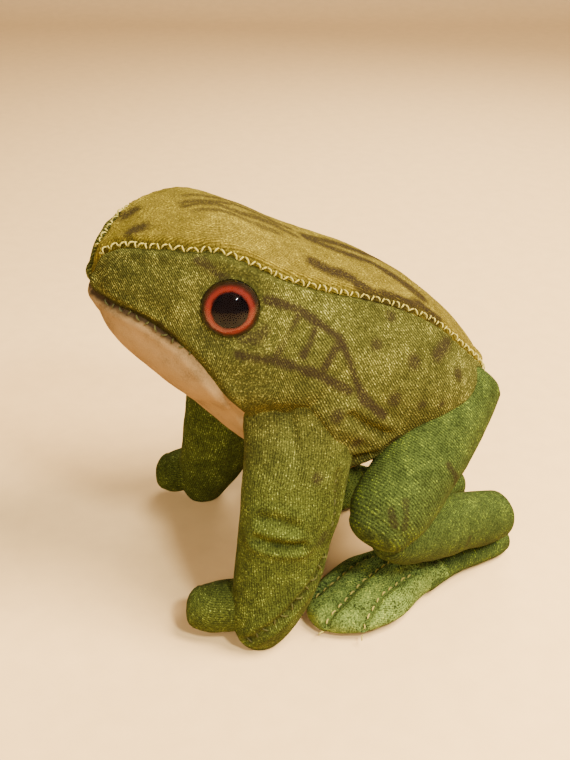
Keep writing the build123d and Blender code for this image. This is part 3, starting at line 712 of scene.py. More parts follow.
# ---------------------------------------------------------------- stitches
def along_line(line, spacing):
    """Points at even spacing along a line of straight runs, and the line's direction at each."""
    line = np.asarray(line, float)
    travelled = np.concatenate([[0], np.cumsum(np.linalg.norm(np.diff(line, axis=0), axis=1))])
    at = np.arange(spacing / 2, travelled[-1], spacing)
    places = np.stack([np.interp(at, travelled, line[:, axis]) for axis in range(3)], -1)
    hair = spacing / 4
    ahead = np.stack([np.interp(at + hair, travelled, line[:, axis])
                      - np.interp(at - hair, travelled, line[:, axis])
                      for axis in range(3)], -1)
    return places, unit(ahead)


def stitches(name, places, ahead, outward, material, reach=1.9, lift=0.5, slant=34.0, sawtooth=True,
             sink=0.35, seed=5):
    """One mesh of short bent threads, one per place. Each lies across the seam, turned by slant, every
    other one the opposite way if sawtooth. Along its length from 0 to 1 it rises from under the cloth as
    one minus the square of twice its distance from the middle, and its section is a small circle."""
    count = len(places)
    rng = np.random.default_rng(seed)
    across = unit(np.cross(outward, ahead))
    outward = unit(np.cross(ahead, across))
    sign = np.where(np.arange(count) % 2, 1.0, -1.0) if sawtooth else np.ones(count)
    angle = np.radians(slant * sign + rng.normal(0, 9, count))[:, None]
    along_thread = across * np.cos(angle) + ahead * np.sin(angle)
    beside = unit(np.cross(outward, along_thread))
    u = np.linspace(0, 1, 7)
    long = (reach * (1 + rng.normal(0, 0.08, count)))[:, None, None]
    uneven = (1 + rng.normal(0, 0.15, count))[:, None, None]
    height = lift * uneven * (1 - (2 * u - 1) ** 2)[None, :, None] - sink
    path = (places[:, None] + along_thread[:, None] * (u - 0.5)[None, :, None] * long
            + outward[:, None] * height)
    run = unit(np.gradient(path, axis=1))
    lateral = np.broadcast_to(beside[:, None], path.shape)
    upward = unit(np.cross(run, lateral))
    sides = 7
    phi = np.linspace(0, 2 * pi, sides, endpoint=False)
    radius = size("thread") / 2 * np.array([0.55, 0.95, 1, 1, 1, 0.95, 0.55])[None, :, None, None]
    ring = path[:, :, None] + radius * (lateral[:, :, None] * np.cos(phi)[:, None]
                                        + upward[:, :, None] * np.sin(phi)[:, None])
    rows = len(u)
    base = np.arange(count)[:, None, None] * rows * sides
    i, j = np.meshgrid(np.arange(rows - 1), np.arange(sides), indexing="ij")
    k = (j + 1) % sides
    quads = (base[..., None] + np.stack([i * sides + j, i * sides + k, (i + 1) * sides + k,
                                         (i + 1) * sides + j], -1)[None]).reshape(-1, 4)
    caps = np.concatenate([base.reshape(-1, 1) + np.arange(sides)[None, ::-1],
                           base.reshape(-1, 1) + (rows - 1) * sides + np.arange(sides)[None]])
    mesh = bpy.data.meshes.new(name)
    mesh.from_pydata((ring.reshape(-1, 3) * MM).tolist(), [], quads.tolist() + caps.tolist())
    mesh.polygons.foreach_set("use_smooth", np.ones(len(mesh.polygons), bool))
    mesh.update()
    if mesh_volume(ring, quads) < 0:
        mesh.flip_normals()
    mesh.materials.append(material)
    piece = bpy.data.objects.new(name, mesh)
    bpy.context.scene.collection.objects.link(piece)
    return piece


def mesh_volume(points, quads):
    """Signed volume that the four-sided faces enclose."""
    p = points.reshape(-1, 3)
    a, b, c, d = (p[quads[:, n]] for n in range(4))
    return (np.cross(a, b) * c).sum() + (np.cross(a, c) * d).sum()


# ---------------------------------------------------------------- materials
def add_node(material, kind, settings=None, **links):
    """A node of one kind. settings fills properties and sockets, and each link name=(node, output) joins a
    socket, its name's underscores standing for spaces."""
    tree = material.node_tree
    node = tree.nodes.new(kind)
    for key, value in (settings or {}).items():
        if isinstance(key, int) or key in node.inputs:
            node.inputs[key].default_value = value
        else:
            setattr(node, key, value)
    for key, (source, output) in links.items():
        socket = int(key[1:]) if key[0] == "n" and key[1:].isdigit() else key.replace("_", " ")
        tree.links.new(source.outputs[output], node.inputs[socket])
    return node


def new_material(name, settings):
    """A material with one Principled surface whose sockets take the settings."""
    material = bpy.data.materials.new(name)
    material.use_nodes = True
    surface = material.node_tree.nodes["Principled BSDF"]
    for key, value in settings.items():
        surface.inputs[key].default_value = value
    return material, surface


def ramp(material, stops, source, output):
    """A colour ramp with stops [(position, colour)]."""
    node = add_node(material, "ShaderNodeValToRGB", Fac=(source, output))
    node.color_ramp.elements[0].position, node.color_ramp.elements[0].color = stops[0]
    node.color_ramp.elements[1].position, node.color_ramp.elements[1].color = stops[-1]
    for position, value in stops[1:-1]:
        node.color_ramp.elements.new(position).color = value
    return node


def join(material, node, output, target, socket):
    material.node_tree.links.new(node.outputs[output], target.inputs[socket])


def per_mm(millimetres):
    """Noise scale whose cells are this many millimetres across, on coordinates in metres."""
    return 1 / (millimetres * MM)


def velvet(name, base, tip, valley_shade, row_angle, pile_bump=0.00026, row_strength=1.0):
    """Short cotton velvet: rows of pile one row_pitch apart, each ridge painted lighter as though it caught
    the light and the hollows between them painted in a darker shade colour, worn and rubbed into patches,
    with golden fibre tips. The spray attribute darkens it where it was sprayed, and the seam attribute
    paints shade into the grooves along the seams."""
    material, surface = new_material(name, {"Roughness": 0.92, "Sheen Weight": 0.05, "Sheen Roughness": 0.4,
                                            "Sheen Tint": tip, "IOR": 1.46, "Specular IOR Level": 0.06})
    place = add_node(material, "ShaderNodeTexCoord")
    uv = add_node(material, "ShaderNodeUVMap", {"uv_map": "Cloth"})
    turned = add_node(material, "ShaderNodeMapping", {"Rotation": (0, 0, radians(row_angle))},
                      Vector=(uv, "UV"))
    # a wave texture's bands are 0.314 of a unit apart at scale 1
    rows = add_node(material, "ShaderNodeTexWave",
                    {"wave_type": "BANDS", "bands_direction": "X", "wave_profile": "SIN",
                     "Scale": 0.314 / size("row_pitch"), "Distortion": 2.6, "Detail": 2.0,
                     "Detail Scale": 0.8, "Detail Roughness": 0.6}, Vector=(turned, "Vector"))
    pile = add_node(material, "ShaderNodeTexNoise",
                    {"Scale": per_mm(0.34), "Detail": 2.0, "Roughness": 0.65},
                    Vector=(place, "Object"))
    mottle = add_node(material, "ShaderNodeTexNoise",
                      {"Scale": per_mm(2.3), "Detail": 4.0, "Roughness": 0.62},
                      Vector=(place, "Object"))
    patch = add_node(material, "ShaderNodeTexNoise",
                     {"Scale": per_mm(10.0), "Detail": 2.0, "Roughness": 0.5},
                     Vector=(place, "Object"))
    height = add_node(material, "ShaderNodeMath", {"operation": "MULTIPLY", 1: 0.24 * row_strength},
                      n0=(rows, "Fac"))
    height = add_node(material, "ShaderNodeMath", {"operation": "MULTIPLY_ADD", 1: 1.0},
                      n0=(pile, "Fac"), n2=(height, "Value"))
    tone = add_node(material, "ShaderNodeMath", {"operation": "MULTIPLY_ADD", 1: 0.45},
                    n0=(mottle, "Fac"), n2=(height, "Value"))
    tone = add_node(material, "ShaderNodeMath", {"operation": "MULTIPLY_ADD", 1: 0.24},
                    n0=(patch, "Fac"), n2=(tone, "Value"))
    spread = add_node(material, "ShaderNodeMapRange",
                      {"From Min": 0.72 + 0.1 * row_strength, "From Max": 1.18 + 0.1 * row_strength},
                      Value=(tone, "Value"))
    # the tone from rows, pile and mottling runs from the shade colour, a darker copy of the base painted as
    # shade in the hollows between rows, through the base to the tip colour, partly the golden fibre tips'
    # own colour and partly painted highlight on the ridges
    cloth = ramp(material, [(0.0, valley_shade), (0.42, base), (0.62, base), (1.0, tip)], spread, "Result")
    # down the arms the dye is greener, by the green attribute
    green = add_node(material, "ShaderNodeAttribute", {"attribute_name": "green"})
    cloth = add_node(material, "ShaderNodeMix", {"data_type": "RGBA", "blend_type": "MULTIPLY",
                                                 7: (0.88, 1.12, 1.0, 1.0)}, n0=(green, "Fac"),
                                                 n6=(cloth, "Color"))
    spray = add_node(material, "ShaderNodeAttribute", {"attribute_name": "spray"})
    rough_edge = add_node(material, "ShaderNodeMath", {"operation": "MULTIPLY_ADD", 1: 1.15, 2: -0.08},
                          n0=(spray, "Fac"))
    broken = add_node(material, "ShaderNodeMapRange", {"From Min": 0.25, "From Max": 0.75, "To Min": 1.0,
                                                       "To Max": 0.68}, Value=(pile, "Fac"))
    cover = add_node(material, "ShaderNodeMath", {"operation": "MULTIPLY", "use_clamp": True},
                     n0=(rough_edge, "Value"), n1=(broken, "Result"))
    marked = add_node(material, "ShaderNodeMix", {"data_type": "RGBA", 7: paint("spray")},
                      n0=(cover, "Value"), n6=(cloth, 2))
    # painted shade: where the seam attribute is set, the colour is mixed towards the darker shade colour, as
    # shade in the pulled-in seams and toe grooves
    seam = add_node(material, "ShaderNodeAttribute", {"attribute_name": "seam"})
    seam_shade = add_node(material, "ShaderNodeMath", {"operation": "MULTIPLY", 1: 0.42}, n0=(seam, "Fac"))
    final = add_node(material, "ShaderNodeMix", {"data_type": "RGBA", 7: valley_shade},
                     n0=(seam_shade, "Value"), n6=(marked, 2))
    join(material, final, 2, surface, "Base Color")
    bump = add_node(material, "ShaderNodeBump", {"Strength": 0.85, "Distance": pile_bump},
                    Height=(height, "Value"))
    join(material, bump, "Normal", surface, "Normal")
    return material


def brushed_cotton(name, base):
    """Cream cotton cloth with a brushed nap: fine threads and soft stains."""
    material, surface = new_material(name, {"Roughness": 0.95, "Sheen Weight": 0.12, "Sheen Roughness": 0.5,
                                            "Sheen Tint": base, "IOR": 1.46, "Specular IOR Level": 0.08})
    place = add_node(material, "ShaderNodeTexCoord")
    nap = add_node(material, "ShaderNodeTexNoise", {"Scale": per_mm(0.3), "Detail": 3.0, "Roughness": 0.7},
                   Vector=(place, "Object"))
    stain = add_node(material, "ShaderNodeTexNoise",
                     {"Scale": per_mm(6.0), "Detail": 3.0, "Roughness": 0.55},
                     Vector=(place, "Object"))
    tone = add_node(material, "ShaderNodeMath", {"operation": "MULTIPLY_ADD", 1: 0.45}, n0=(nap, "Fac"),
                    n2=(stain, "Fac"))
    spread = add_node(material, "ShaderNodeMapRange", {"From Min": 0.5, "From Max": 0.95},
                      Value=(tone, "Value"))
    dark = [part * 0.55 for part in base[:3]] + [1.0]
    light = [min(part * 1.18, 1.0) for part in base[:3]] + [1.0]
    cloth = ramp(material, [(0.0, dark), (0.5, base), (1.0, light)], spread, "Result")
    spray = add_node(material, "ShaderNodeAttribute", {"attribute_name": "spray"})
    marked = add_node(material, "ShaderNodeMix", {"data_type": "RGBA", 7: paint("spray")},
                      n0=(spray, "Fac"), n6=(cloth, "Color"))
    join(material, marked, 2, surface, "Base Color")
    bump = add_node(material, "ShaderNodeBump", {"Strength": 0.8, "Distance": 0.00012}, Height=(nap, "Fac"))
    join(material, bump, "Normal", surface, "Normal")
    return material


def cotton_thread(name, base):
    """Two-ply cotton thread: pale, slightly grubby, twisted about 0.4 mm a turn."""
    material, surface = new_material(name, {"Roughness": 0.8, "Sheen Weight": 0.3, "Sheen Tint": base,
                                            "IOR": 1.5, "Specular IOR Level": 0.3})
    place = add_node(material, "ShaderNodeTexCoord")
    twist = add_node(material, "ShaderNodeTexWave",
                     {"bands_direction": "DIAGONAL", "Scale": 0.314 / (0.3 * MM),
                                                     "Distortion": 1.0}, Vector=(place, "Object"))
    grub = add_node(material, "ShaderNodeTexNoise", {"Scale": per_mm(4.0), "Detail": 3.0},
                    Vector=(place, "Object"))
    tone = add_node(material, "ShaderNodeMath", {"operation": "MULTIPLY_ADD", 1: 0.3}, n0=(twist, "Fac"),
                    n2=(grub, "Fac"))
    dark = [part * 0.5 for part in base[:3]] + [1.0]
    cloth = ramp(material, [(0.3, dark), (0.62, base), (1.0, base)], tone, "Value")
    join(material, cloth, "Color", surface, "Base Color")
    bump = add_node(material, "ShaderNodeBump", {"Strength": 0.6, "Distance": 0.00006},
                    Height=(twist, "Fac"))
    join(material, bump, "Normal", surface, "Normal")
    return material


def clear_glass():
    """Clear glass, fire-polished: smooth, with the faintest waviness and a slight warm tint. The specular
    tint holds its reflection to about a quarter of real glass's, so the floor shows less over the pupil."""
    material, surface = new_material("Clear lampworked glass",
                                     {"Roughness": 0.02, "IOR": 1.5, "Transmission Weight": 1.0,
                                                               "Specular Tint": (0.25, 0.26, 0.3, 1.0)})
    place = add_node(material, "ShaderNodeTexCoord")
    wave = add_node(material, "ShaderNodeTexNoise", {"Scale": per_mm(3.0), "Detail": 1.0},
                    Vector=(place, "Object"))
    tint = ramp(material, [(0.3, linear("#fff6ea")), (0.7, linear("#fffdf8"))], wave, "Fac")
    join(material, tint, "Color", surface, "Base Color")
    bump = add_node(material, "ShaderNodeBump", {"Strength": 0.12, "Distance": 0.00008},
                    Height=(wave, "Fac"))
    join(material, bump, "Normal", surface, "Normal")
    return material


def iris_enamel():
    """Enamel fired on the glass's back: dark by the pupil, orange red in the middle of the ring, maroon and
    then olive brown at the rim, with fine streaks. The shade attribute runs from 0 at the pupil's edge to 1
    at the glass's."""
    material, surface = new_material("Orange red glass enamel", {"Roughness": 0.3, "IOR": 1.5,
                                                                 "Specular IOR Level": 0.0})
    place = add_node(material, "ShaderNodeTexCoord")
    streak = add_node(material, "ShaderNodeTexNoise", {"Scale": per_mm(0.9), "Detail": 4.0},
                      Vector=(place, "Object"))
    shade = add_node(material, "ShaderNodeAttribute", {"attribute_name": "shade"})
    tone = add_node(material, "ShaderNodeMath", {"operation": "MULTIPLY_ADD", 1: 0.22, 2: -0.11},
                    n0=(streak, "Fac"))
    tone = add_node(material, "ShaderNodeMath", {"operation": "ADD"}, n0=(tone, "Value"), n1=(shade, "Fac"))
    base = paint("iris")
    ring = ramp(material, [(0.0, linear("#1c0906")), (0.16, base), (0.34, base), (0.5, linear("#451a10")),
                           (0.66, linear("#2c1d0e")), (1.0, linear("#211d0c"))], tone, "Value")
    join(material, ring, "Color", surface, "Base Color")
    return material


def black_glass():
    """Black glass disc fused inside the clear dome: nearly black, with a faint brown depth and no gloss of
    its own, because glass lies against it."""
    material, surface = new_material("Black glass", {"Roughness": 0.7, "Specular IOR Level": 0.0})
    place = add_node(material, "ShaderNodeTexCoord")
    depth = add_node(material, "ShaderNodeTexNoise", {"Scale": per_mm(2.0)}, Vector=(place, "Object"))
    tint = ramp(material, [(0.3, linear("#040303")), (0.8, linear("#120a07"))], depth, "Fac")
    join(material, tint, "Color", surface, "Base Color")
    return material


def bright_wire():
    """Drawn steel wire, dulled by age: drawing lines along it and a few rust freckles."""
    material, surface = new_material("Drawn steel wire", {"Metallic": 1.0, "Roughness": 0.35})
    place = add_node(material, "ShaderNodeTexCoord")
    fleck = add_node(material, "ShaderNodeTexNoise", {"Scale": per_mm(0.5), "Detail": 3.0},
                     Vector=(place, "Object"))
    tint = ramp(material, [(0.4, linear("#9a958c")), (0.75, linear("#6a4a34"))], fleck, "Fac")
    join(material, tint, "Color", surface, "Base Color")
    return material


MATERIALS = {}


def material_named(key):
    """Each material is made once, when a piece first asks for it."""
    if key not in MATERIALS:
        makers = {
            # each velvet's third colour, its light tips, is partly the golden fibre tips' own colour and
            # partly painted highlight; its fourth, its base made darker, is painted shade between the pile
            # rows and in the seams
            "golden": lambda: velvet("Golden olive cotton velvet", paint("golden"), linear("#95811d"),
                                     paint("golden", 0.42), 2),
            "olive": lambda: velvet("Olive cotton velvet", paint("olive"), linear("#857c34"),
                                    paint("olive", 0.36), 57),
            "arm": lambda: velvet("Olive cotton velvet, arms", paint("olive"), linear("#857c34"),
                                  paint("olive", 0.36), 4, row_strength=0.6),
            "moss": lambda: velvet("Moss green cotton velvet", paint("moss"), linear("#667019"),
                                   paint("moss", 0.38), 96, row_strength=0.7),
            # the feet are painted light: their base is the leg velvet made 2.9 times lighter, where the body
            # shades them
            "foot": lambda: velvet("Moss green cotton velvet, feet", paint("moss", 2.9), linear("#9a9c2a"),
                                   paint("moss", 0.42), 4, row_strength=0.5),
            "cream": lambda: brushed_cotton("Cream brushed cotton", paint("cream")),
            "thread": lambda: cotton_thread("Pale yellow cotton thread", paint("thread")),
            "dark_thread": lambda: cotton_thread("Olive cotton thread", paint("olive", 0.9)),
            "glass": clear_glass, "iris": iris_enamel, "pupil": black_glass, "wire": bright_wire,
        }
        MATERIALS[key] = makers[key]()
    return MATERIALS[key]


# ---------------------------------------------------------------- operators
class FROG_OT_trunk(bpy.types.Operator):
    """Sew the back, the two sides and the belly round the stuffing"""
    bl_idname = "frog.trunk"
    bl_label = "Head and trunk"

    def execute(self, context):
        lines = body_seam_lines()
        back, belly = lambda s: seam_turn(s, "back"), lambda s: seam_turn(s, "belly")
        step = size("grid")
        panels = (
            ("BackPanel", lambda s: -back(s), back, int(34 / step), "golden", "golden_velvet",
             ["back_panel", "head_stuffing", "trunk_stuffing"]),
            ("LeftSide", back, belly, int(44 / step), "olive", "olive_velvet", ["left_side_panel"]),
            ("RightSide", lambda s: 8 - belly(s), lambda s: 8 - back(s), int(44 / step), "olive",
             "olive_velvet", ["right_side_panel"]),
            ("BellyPanel", belly, lambda s: 8 - belly(s), int(46 / step), "cream", "cream_cloth",
             ["belly_panel"]),
        )
        for name, start, end, columns, material, slot, nodes in panels:
            piece = body_panel(name, start, end, columns, lines, material_named(material))
            place_piece(piece, "trunk", nodes)
        return {"FINISHED"}


class FROG_OT_arms(bpy.types.Operator):
    """Make both arms with their hands and finger lobes"""
    bl_idname = "frog.arms"
    bl_label = "Arms and hands"

    def execute(self, context):
        for side, k in SIDES.items():
            centres, wide, deep = arm_rows(side)
            rows, columns = grid_counts(62, 50)
            x_way = np.tile([k, 0.0, 0.0], (len(centres), 1))
            y_way = np.tile([0.0, 1.0, 0.0], (len(centres), 1))
            flat, _, _ = tube_points(centres, wide, deep, x_way, y_way, rows, columns)
            creases = [(moved_side(line, side), depth, width) for line, depth, width in WRIST_CREASES]
            points, near = limb_relief(flat, creases, [moved_side(ARM_SEAM, side)], seed=41 + k)
            distance, facing = body_distance(flat)
            front = smooth(0, -4, flat[..., 1] - np.interp(flat[..., 2], centres[::-1, 2], centres[::-1, 1]))
            flat[..., 1] += 8.5 * front * smooth(20, 48, flat[..., 2])
            outward = closed_normals(flat)
            rear = smooth(-0.35, 0.45, outward[..., 1])
            points = points + outward * (meeting_swell(distance) * rear)[..., None]
            # up the shoulder the arm sinks smoothly into the side
            sunk = smooth(SHOULDER[0], SHOULDER[1], flat[..., 2])
            points = points - facing * (sunk * (np.maximum(distance, 0) + 1.6))[..., None]
            points = pressed_flat(points)
            # the seam mark is painted shade along the arm's pulled-in seam
            marks = {"spray": strokes(flat, side, ARM_SPOTS), "seam": 1 - smooth(0.3, 1.5, near),
                     "green": smooth(50, 26, flat[..., 2])}
            arm = tube_piece(f"{side.title()}Arm", points, marks, material_named("arm"))
            x, y = centres[WRIST][:2]
            place_piece(arm, "trunk", [f"{side}_arm_inner_panel", f"{side}_arm_stuffing",
                                       f"{side}_hand_outer_panel", f"{side}_hand_inner_panel",
                                       f"{side}_hand_stuffing"],
                        bend=(f"{side}_hand", (x, y, 25.0), (x, y, 15.5)))

            hand = centres[-3]
            turn = radians(FINGER_TURN[side])
            ahead = np.array([-k * sin(turn), -cos(turn), 0])
            shape = np.array(FINGER)
            middle = hand + ahead * FINGER_LENGTH[side] * shape[:, :1]
            middle[:, 2] = up(shape[:, 1])
            half = size("finger_width") / 2 * shape[:, 2:3]
            across = np.tile([-ahead[1], ahead[0], 0.0], (len(shape), 1))
            upright = np.tile([0.0, 0.0, 1.0], (len(shape), 1))
            rows, columns = grid_counts(17, 30)
            flat, _, _ = tube_points(middle, half, half * shape[:, 3:4], across, upright, rows, columns)
            points, near = limb_relief(flat, lumps=0.16, seed=61 + k)
            marks = {"green": np.ones(near.shape)}
            finger = tube_piece(f"{side.title()}Finger", pressed_flat(points), marks, material_named("arm"))
            place_piece(finger, f"{side}_hand", ())
        return {"FINISHED"}


class FROG_OT_legs(bpy.types.Operator):
    """Make both folded hind legs: thigh, shin and heel strip"""
    bl_idname = "frog.legs"
    bl_label = "Hind legs"

    def execute(self, context):
        for side in SIDES:
            for part, table, width, length_mm, marks_on in (
                    ("Thigh", THIGH, size("thigh_width"), 52, THIGH_MARKS),
                    ("Shin", SHIN, size("shin_width"), 42, SHIN_MARKS)):
                centres, wide, tall, across, upward = leg_rows(table, width, side)
                rows, columns = grid_counts(length_mm, pi * width)
                flat, _, _ = tube_points(centres, wide, tall, across, upward, rows, columns)
                points, near = limb_relief(flat, lumps=0.3, seed=71)
                marks = {"spray": strokes(flat, side, marks_on), "seam": np.zeros(near.shape)}
                piece = tube_piece(f"{side.title()}{part}", pressed_flat(points), marks,
                                   material_named("moss"))
                k = SIDES[side]
                nodes, bend = [f"{side}_shin_stuffing"], None
                if part == "Thigh":
                    nodes = [f"{side}_thigh_stuffing", f"{side}_leg_outer_panel", f"{side}_leg_inner_panel"]
                    bend = (f"{side}_leg", (8 * k, 31, 40), (20 * k, 20, 36))
                place_piece(piece, "trunk" if bend else f"{side}_leg", nodes, bend)
            rows_ = np.array(STRIP)
            centres = np.stack([out(rows_[:, 0]), along(rows_[:, 1]), np.full(len(rows_), 2.5)], -1)
            run = np.gradient(centres, axis=0)
            across = unit(np.stack([-run[:, 1], run[:, 0], np.zeros(len(rows_))], -1))
            upright = np.tile([0.0, 0.0, 1.0], (len(rows_), 1))
            for values in (centres, across):
                values[:, 0] *= SIDES[side]
            half = size("heel_width") / 2 * rows_[:, 2:3]
            rows, columns = grid_counts(24, 26)
            flat, _, _ = tube_points(centres, half, np.full((len(rows_), 1), size("pad_thickness") / 2),
                                     across,
                                     upright, rows, columns)
            points, near = limb_relief(flat, lumps=0.15, seed=77)
            marks = {"spray": strokes(flat, side, SHIN_MARKS), "seam": np.zeros(near.shape)}
            strip = tube_piece(f"{side.title()}HeelStrip", pressed_flat(points), marks,
                               material_named("moss"))
            place_piece(strip, f"{side}_leg", ())
        return {"FINISHED"}


def foot_surface(side):
    """A foot pad's points before its relief: a flat tube along the pad, whose padding stands higher in the
    middle."""
    k = SIDES[side]
    shape = np.array(PAD)
    turn = radians(HEADING)
    ahead = np.array([k * sin(turn), -cos(turn), 0])
    inward = np.array([k * ahead[1], -k * ahead[0], 0])
    ankle = np.array([k * out(ANKLE[0]), along(ANKLE[1]), size("pad_thickness") / 2])
    centres = (ankle + ahead * size("foot_length") * shape[:, :1]
               + inward * (size("foot_width") / 2 * shape[:, 2:3]))
    half = size("foot_width") / 2 * PAD_EASE * shape[:, 1:2]
    tall = size("pad_thickness") / 2 * np.minimum(1.0, 0.45 + shape[:, 1:2])
    across = np.tile([-ahead[1], ahead[0], 0.0], (len(shape), 1))
    upright = np.tile([0.0, 0.0, 1.0], (len(shape), 1))
    rows, columns = grid_counts(30, 46)
    flat, _, _ = tube_points(centres, half, tall, across, upright, rows, columns)
    share = ((flat - ankle) @ ahead) / size("foot_length")
    beside = ((flat - ankle) @ across[0]) / (size("foot_width") / 2)
    crown = (PAD_CROWN * smooth(-0.15, 0.3, share) * (1 - smooth(0.45, 1.0, share))
             * np.clip(1 - beside ** 2, 0, 1))
    flat[..., 2] += crown * smooth(ankle[2] - 0.5, ankle[2] + 2, flat[..., 2])
    return flat


class FROG_OT_feet(bpy.types.Operator):
    """Make both foot pads, with three sewn toe lines each"""
    bl_idname = "frog.feet"
    bl_label = "Foot pads"

    def execute(self, context):
        for side, k in SIDES.items():
            flat = foot_surface(side)
            plan = flat * [1, 1, 0]
            toes = np.min([stroke_distance(plan, moved_foot(line, k) * [1, 1, 0]) for line in TOE_GROOVES],
                          axis=0)
            top = smooth(1.5, 3.6, flat[..., 2])
            points, _ = limb_relief(flat, lumps=0.25, seed=83)
            pulled = 1.25 * np.exp(-(toes / 0.8) ** 2) - 0.35 * np.exp(-((toes - 2.0) / 1.0) ** 2)
            points[..., 2] -= pulled * top
            # the seam mark is painted shade in the toe grooves on top of the pad
            marks = {"spray": 0.45 * strokes(flat, side, [([(15, 19, 5), (18, 20, 5)], 2.0, 1.0)]),
                     "seam": 0.7 * (1 - smooth(0.3, 1.3, toes)) * top}
            pad = tube_piece(f"{side.title()}FootPad", pressed_flat(points), marks, material_named("foot"))
            place_piece(pad, f"{side}_foot",
                        [f"{side}_foot_upper", f"{side}_foot_sole", f"{side}_foot_padding"])
        return {"FINISHED"}


def moved_foot(line, k):
    line = np.array(line, float)
    line[:, 0] *= k
    return line


class FROG_OT_seams(bpy.types.Operator):
    """Sew the visible stitches along every seam"""
    bl_idname = "frog.seams"
    bl_label = "Stitches"

    def execute(self, context):
        pitch = size("stitch_pitch")
        for side, k in SIDES.items():
            for name, material, runs, reach, lift, sink in (
                    ("back", "thread", [(0.6, 10.3)], 1.35, 0.5, 0.12),
                    ("belly", "dark_thread", [(0.4, 3.6), (7.2, 10.0)], 1.1, 0.25, 0.1)):
                places, ahead, outward = [], [], []
                for first, last in runs:
                    s = np.linspace(first, last, 200)
                    turn = seam_turn(s, name)
                    turn = turn if k > 0 else 8 - turn
                    line = body_form(s, turn[:, None])[:, 0]
                    normal = body_normals(s, turn[:, None])[:, 0]
                    spots, way = along_line(line, pitch * (0.5 if name == "back" else 0.8))
                    nearest = ((spots[:, None] - line[None]) ** 2).sum(-1).argmin(1)
                    places.append(spots)
                    ahead.append(way)
                    outward.append(normal[nearest])
                piece = stitches(f"{side.title()}{name.title()}Stitches", np.concatenate(places),
                                 np.concatenate(ahead), np.concatenate(outward), material_named(material),
                                 reach=reach, lift=lift, sink=sink, seed=7 + k)
                place_piece(piece, "trunk", [f"{side}_{name}_seam_stitches"])
            centres, _, _ = arm_rows(side)
            for name, low, high, body in (("arm", 25, 36, "trunk"), ("hand", 3, 19, f"{side}_hand")):
                line = moved_side(ARM_SEAM, side)
                spots, way = along_line(line, pitch)
                kept = (spots[:, 2] > low) & (spots[:, 2] < high)
                spots, way = spots[kept], way[kept]
                middle = np.stack([np.interp(-spots[:, 2], -centres[:, 2], centres[:, axis])
                                   for axis in (0, 1)], -1)
                outward = unit(np.concatenate([spots[:, :2] - middle, np.zeros((len(spots), 1))], 1))
                piece = stitches(f"{side.title()}{name.title()}Stitches", spots, way, outward,
                                 material_named("dark_thread"), reach=1.6, lift=0.35, seed=13 + k)
                place_piece(piece, body, [f"{side}_{name}_seam_stitches"])
            spots, way = [], []
            for line in TOE_GROOVES:
                a, b = along_line(moved_foot(line, k), 1.9)
                spots.append(a)
                way.append(b)
            spots, way = np.concatenate(spots), np.concatenate(way)
            up_way = np.tile([0.0, 0.0, 1.0], (len(spots), 1))
            pad = foot_surface(side).reshape(-1, 3)
            pad = pad[pad[:, 2] > size("pad_thickness") / 2]
            beneath = ((spots[:, None, :2] - pad[None, :, :2]) ** 2).sum(-1).argmin(1)
            spots[:, 2] = pad[beneath, 2] - 0.85
            piece = stitches(f"{side.title()}ToeStitches", spots, way, up_way,
                             material_named("thread"), reach=1.2, lift=0.3, slant=80, sawtooth=False,
                             sink=0.05,
                             seed=17 + k)
            place_piece(piece, f"{side}_foot", [f"{side}_toe_stitches"])
        s = np.linspace(8.3, 10.4, 120)
        line = body_form(s, np.full((120, 1), 4.0))[:, 0]
        normal = body_normals(s, np.full((120, 1), 4.0))[:, 0]
        spots, way = along_line(line, pitch)
        nearest = ((spots[:, None] - line[None]) ** 2).sum(-1).argmin(1)
        piece = stitches("ClosingStitches", spots, way, normal[nearest], material_named("thread"), reach=2.4,
                         lift=0.5, sink=0.3)
        place_piece(piece, "trunk", ["closing_seam_stitches"])
        return {"FINISHED"}


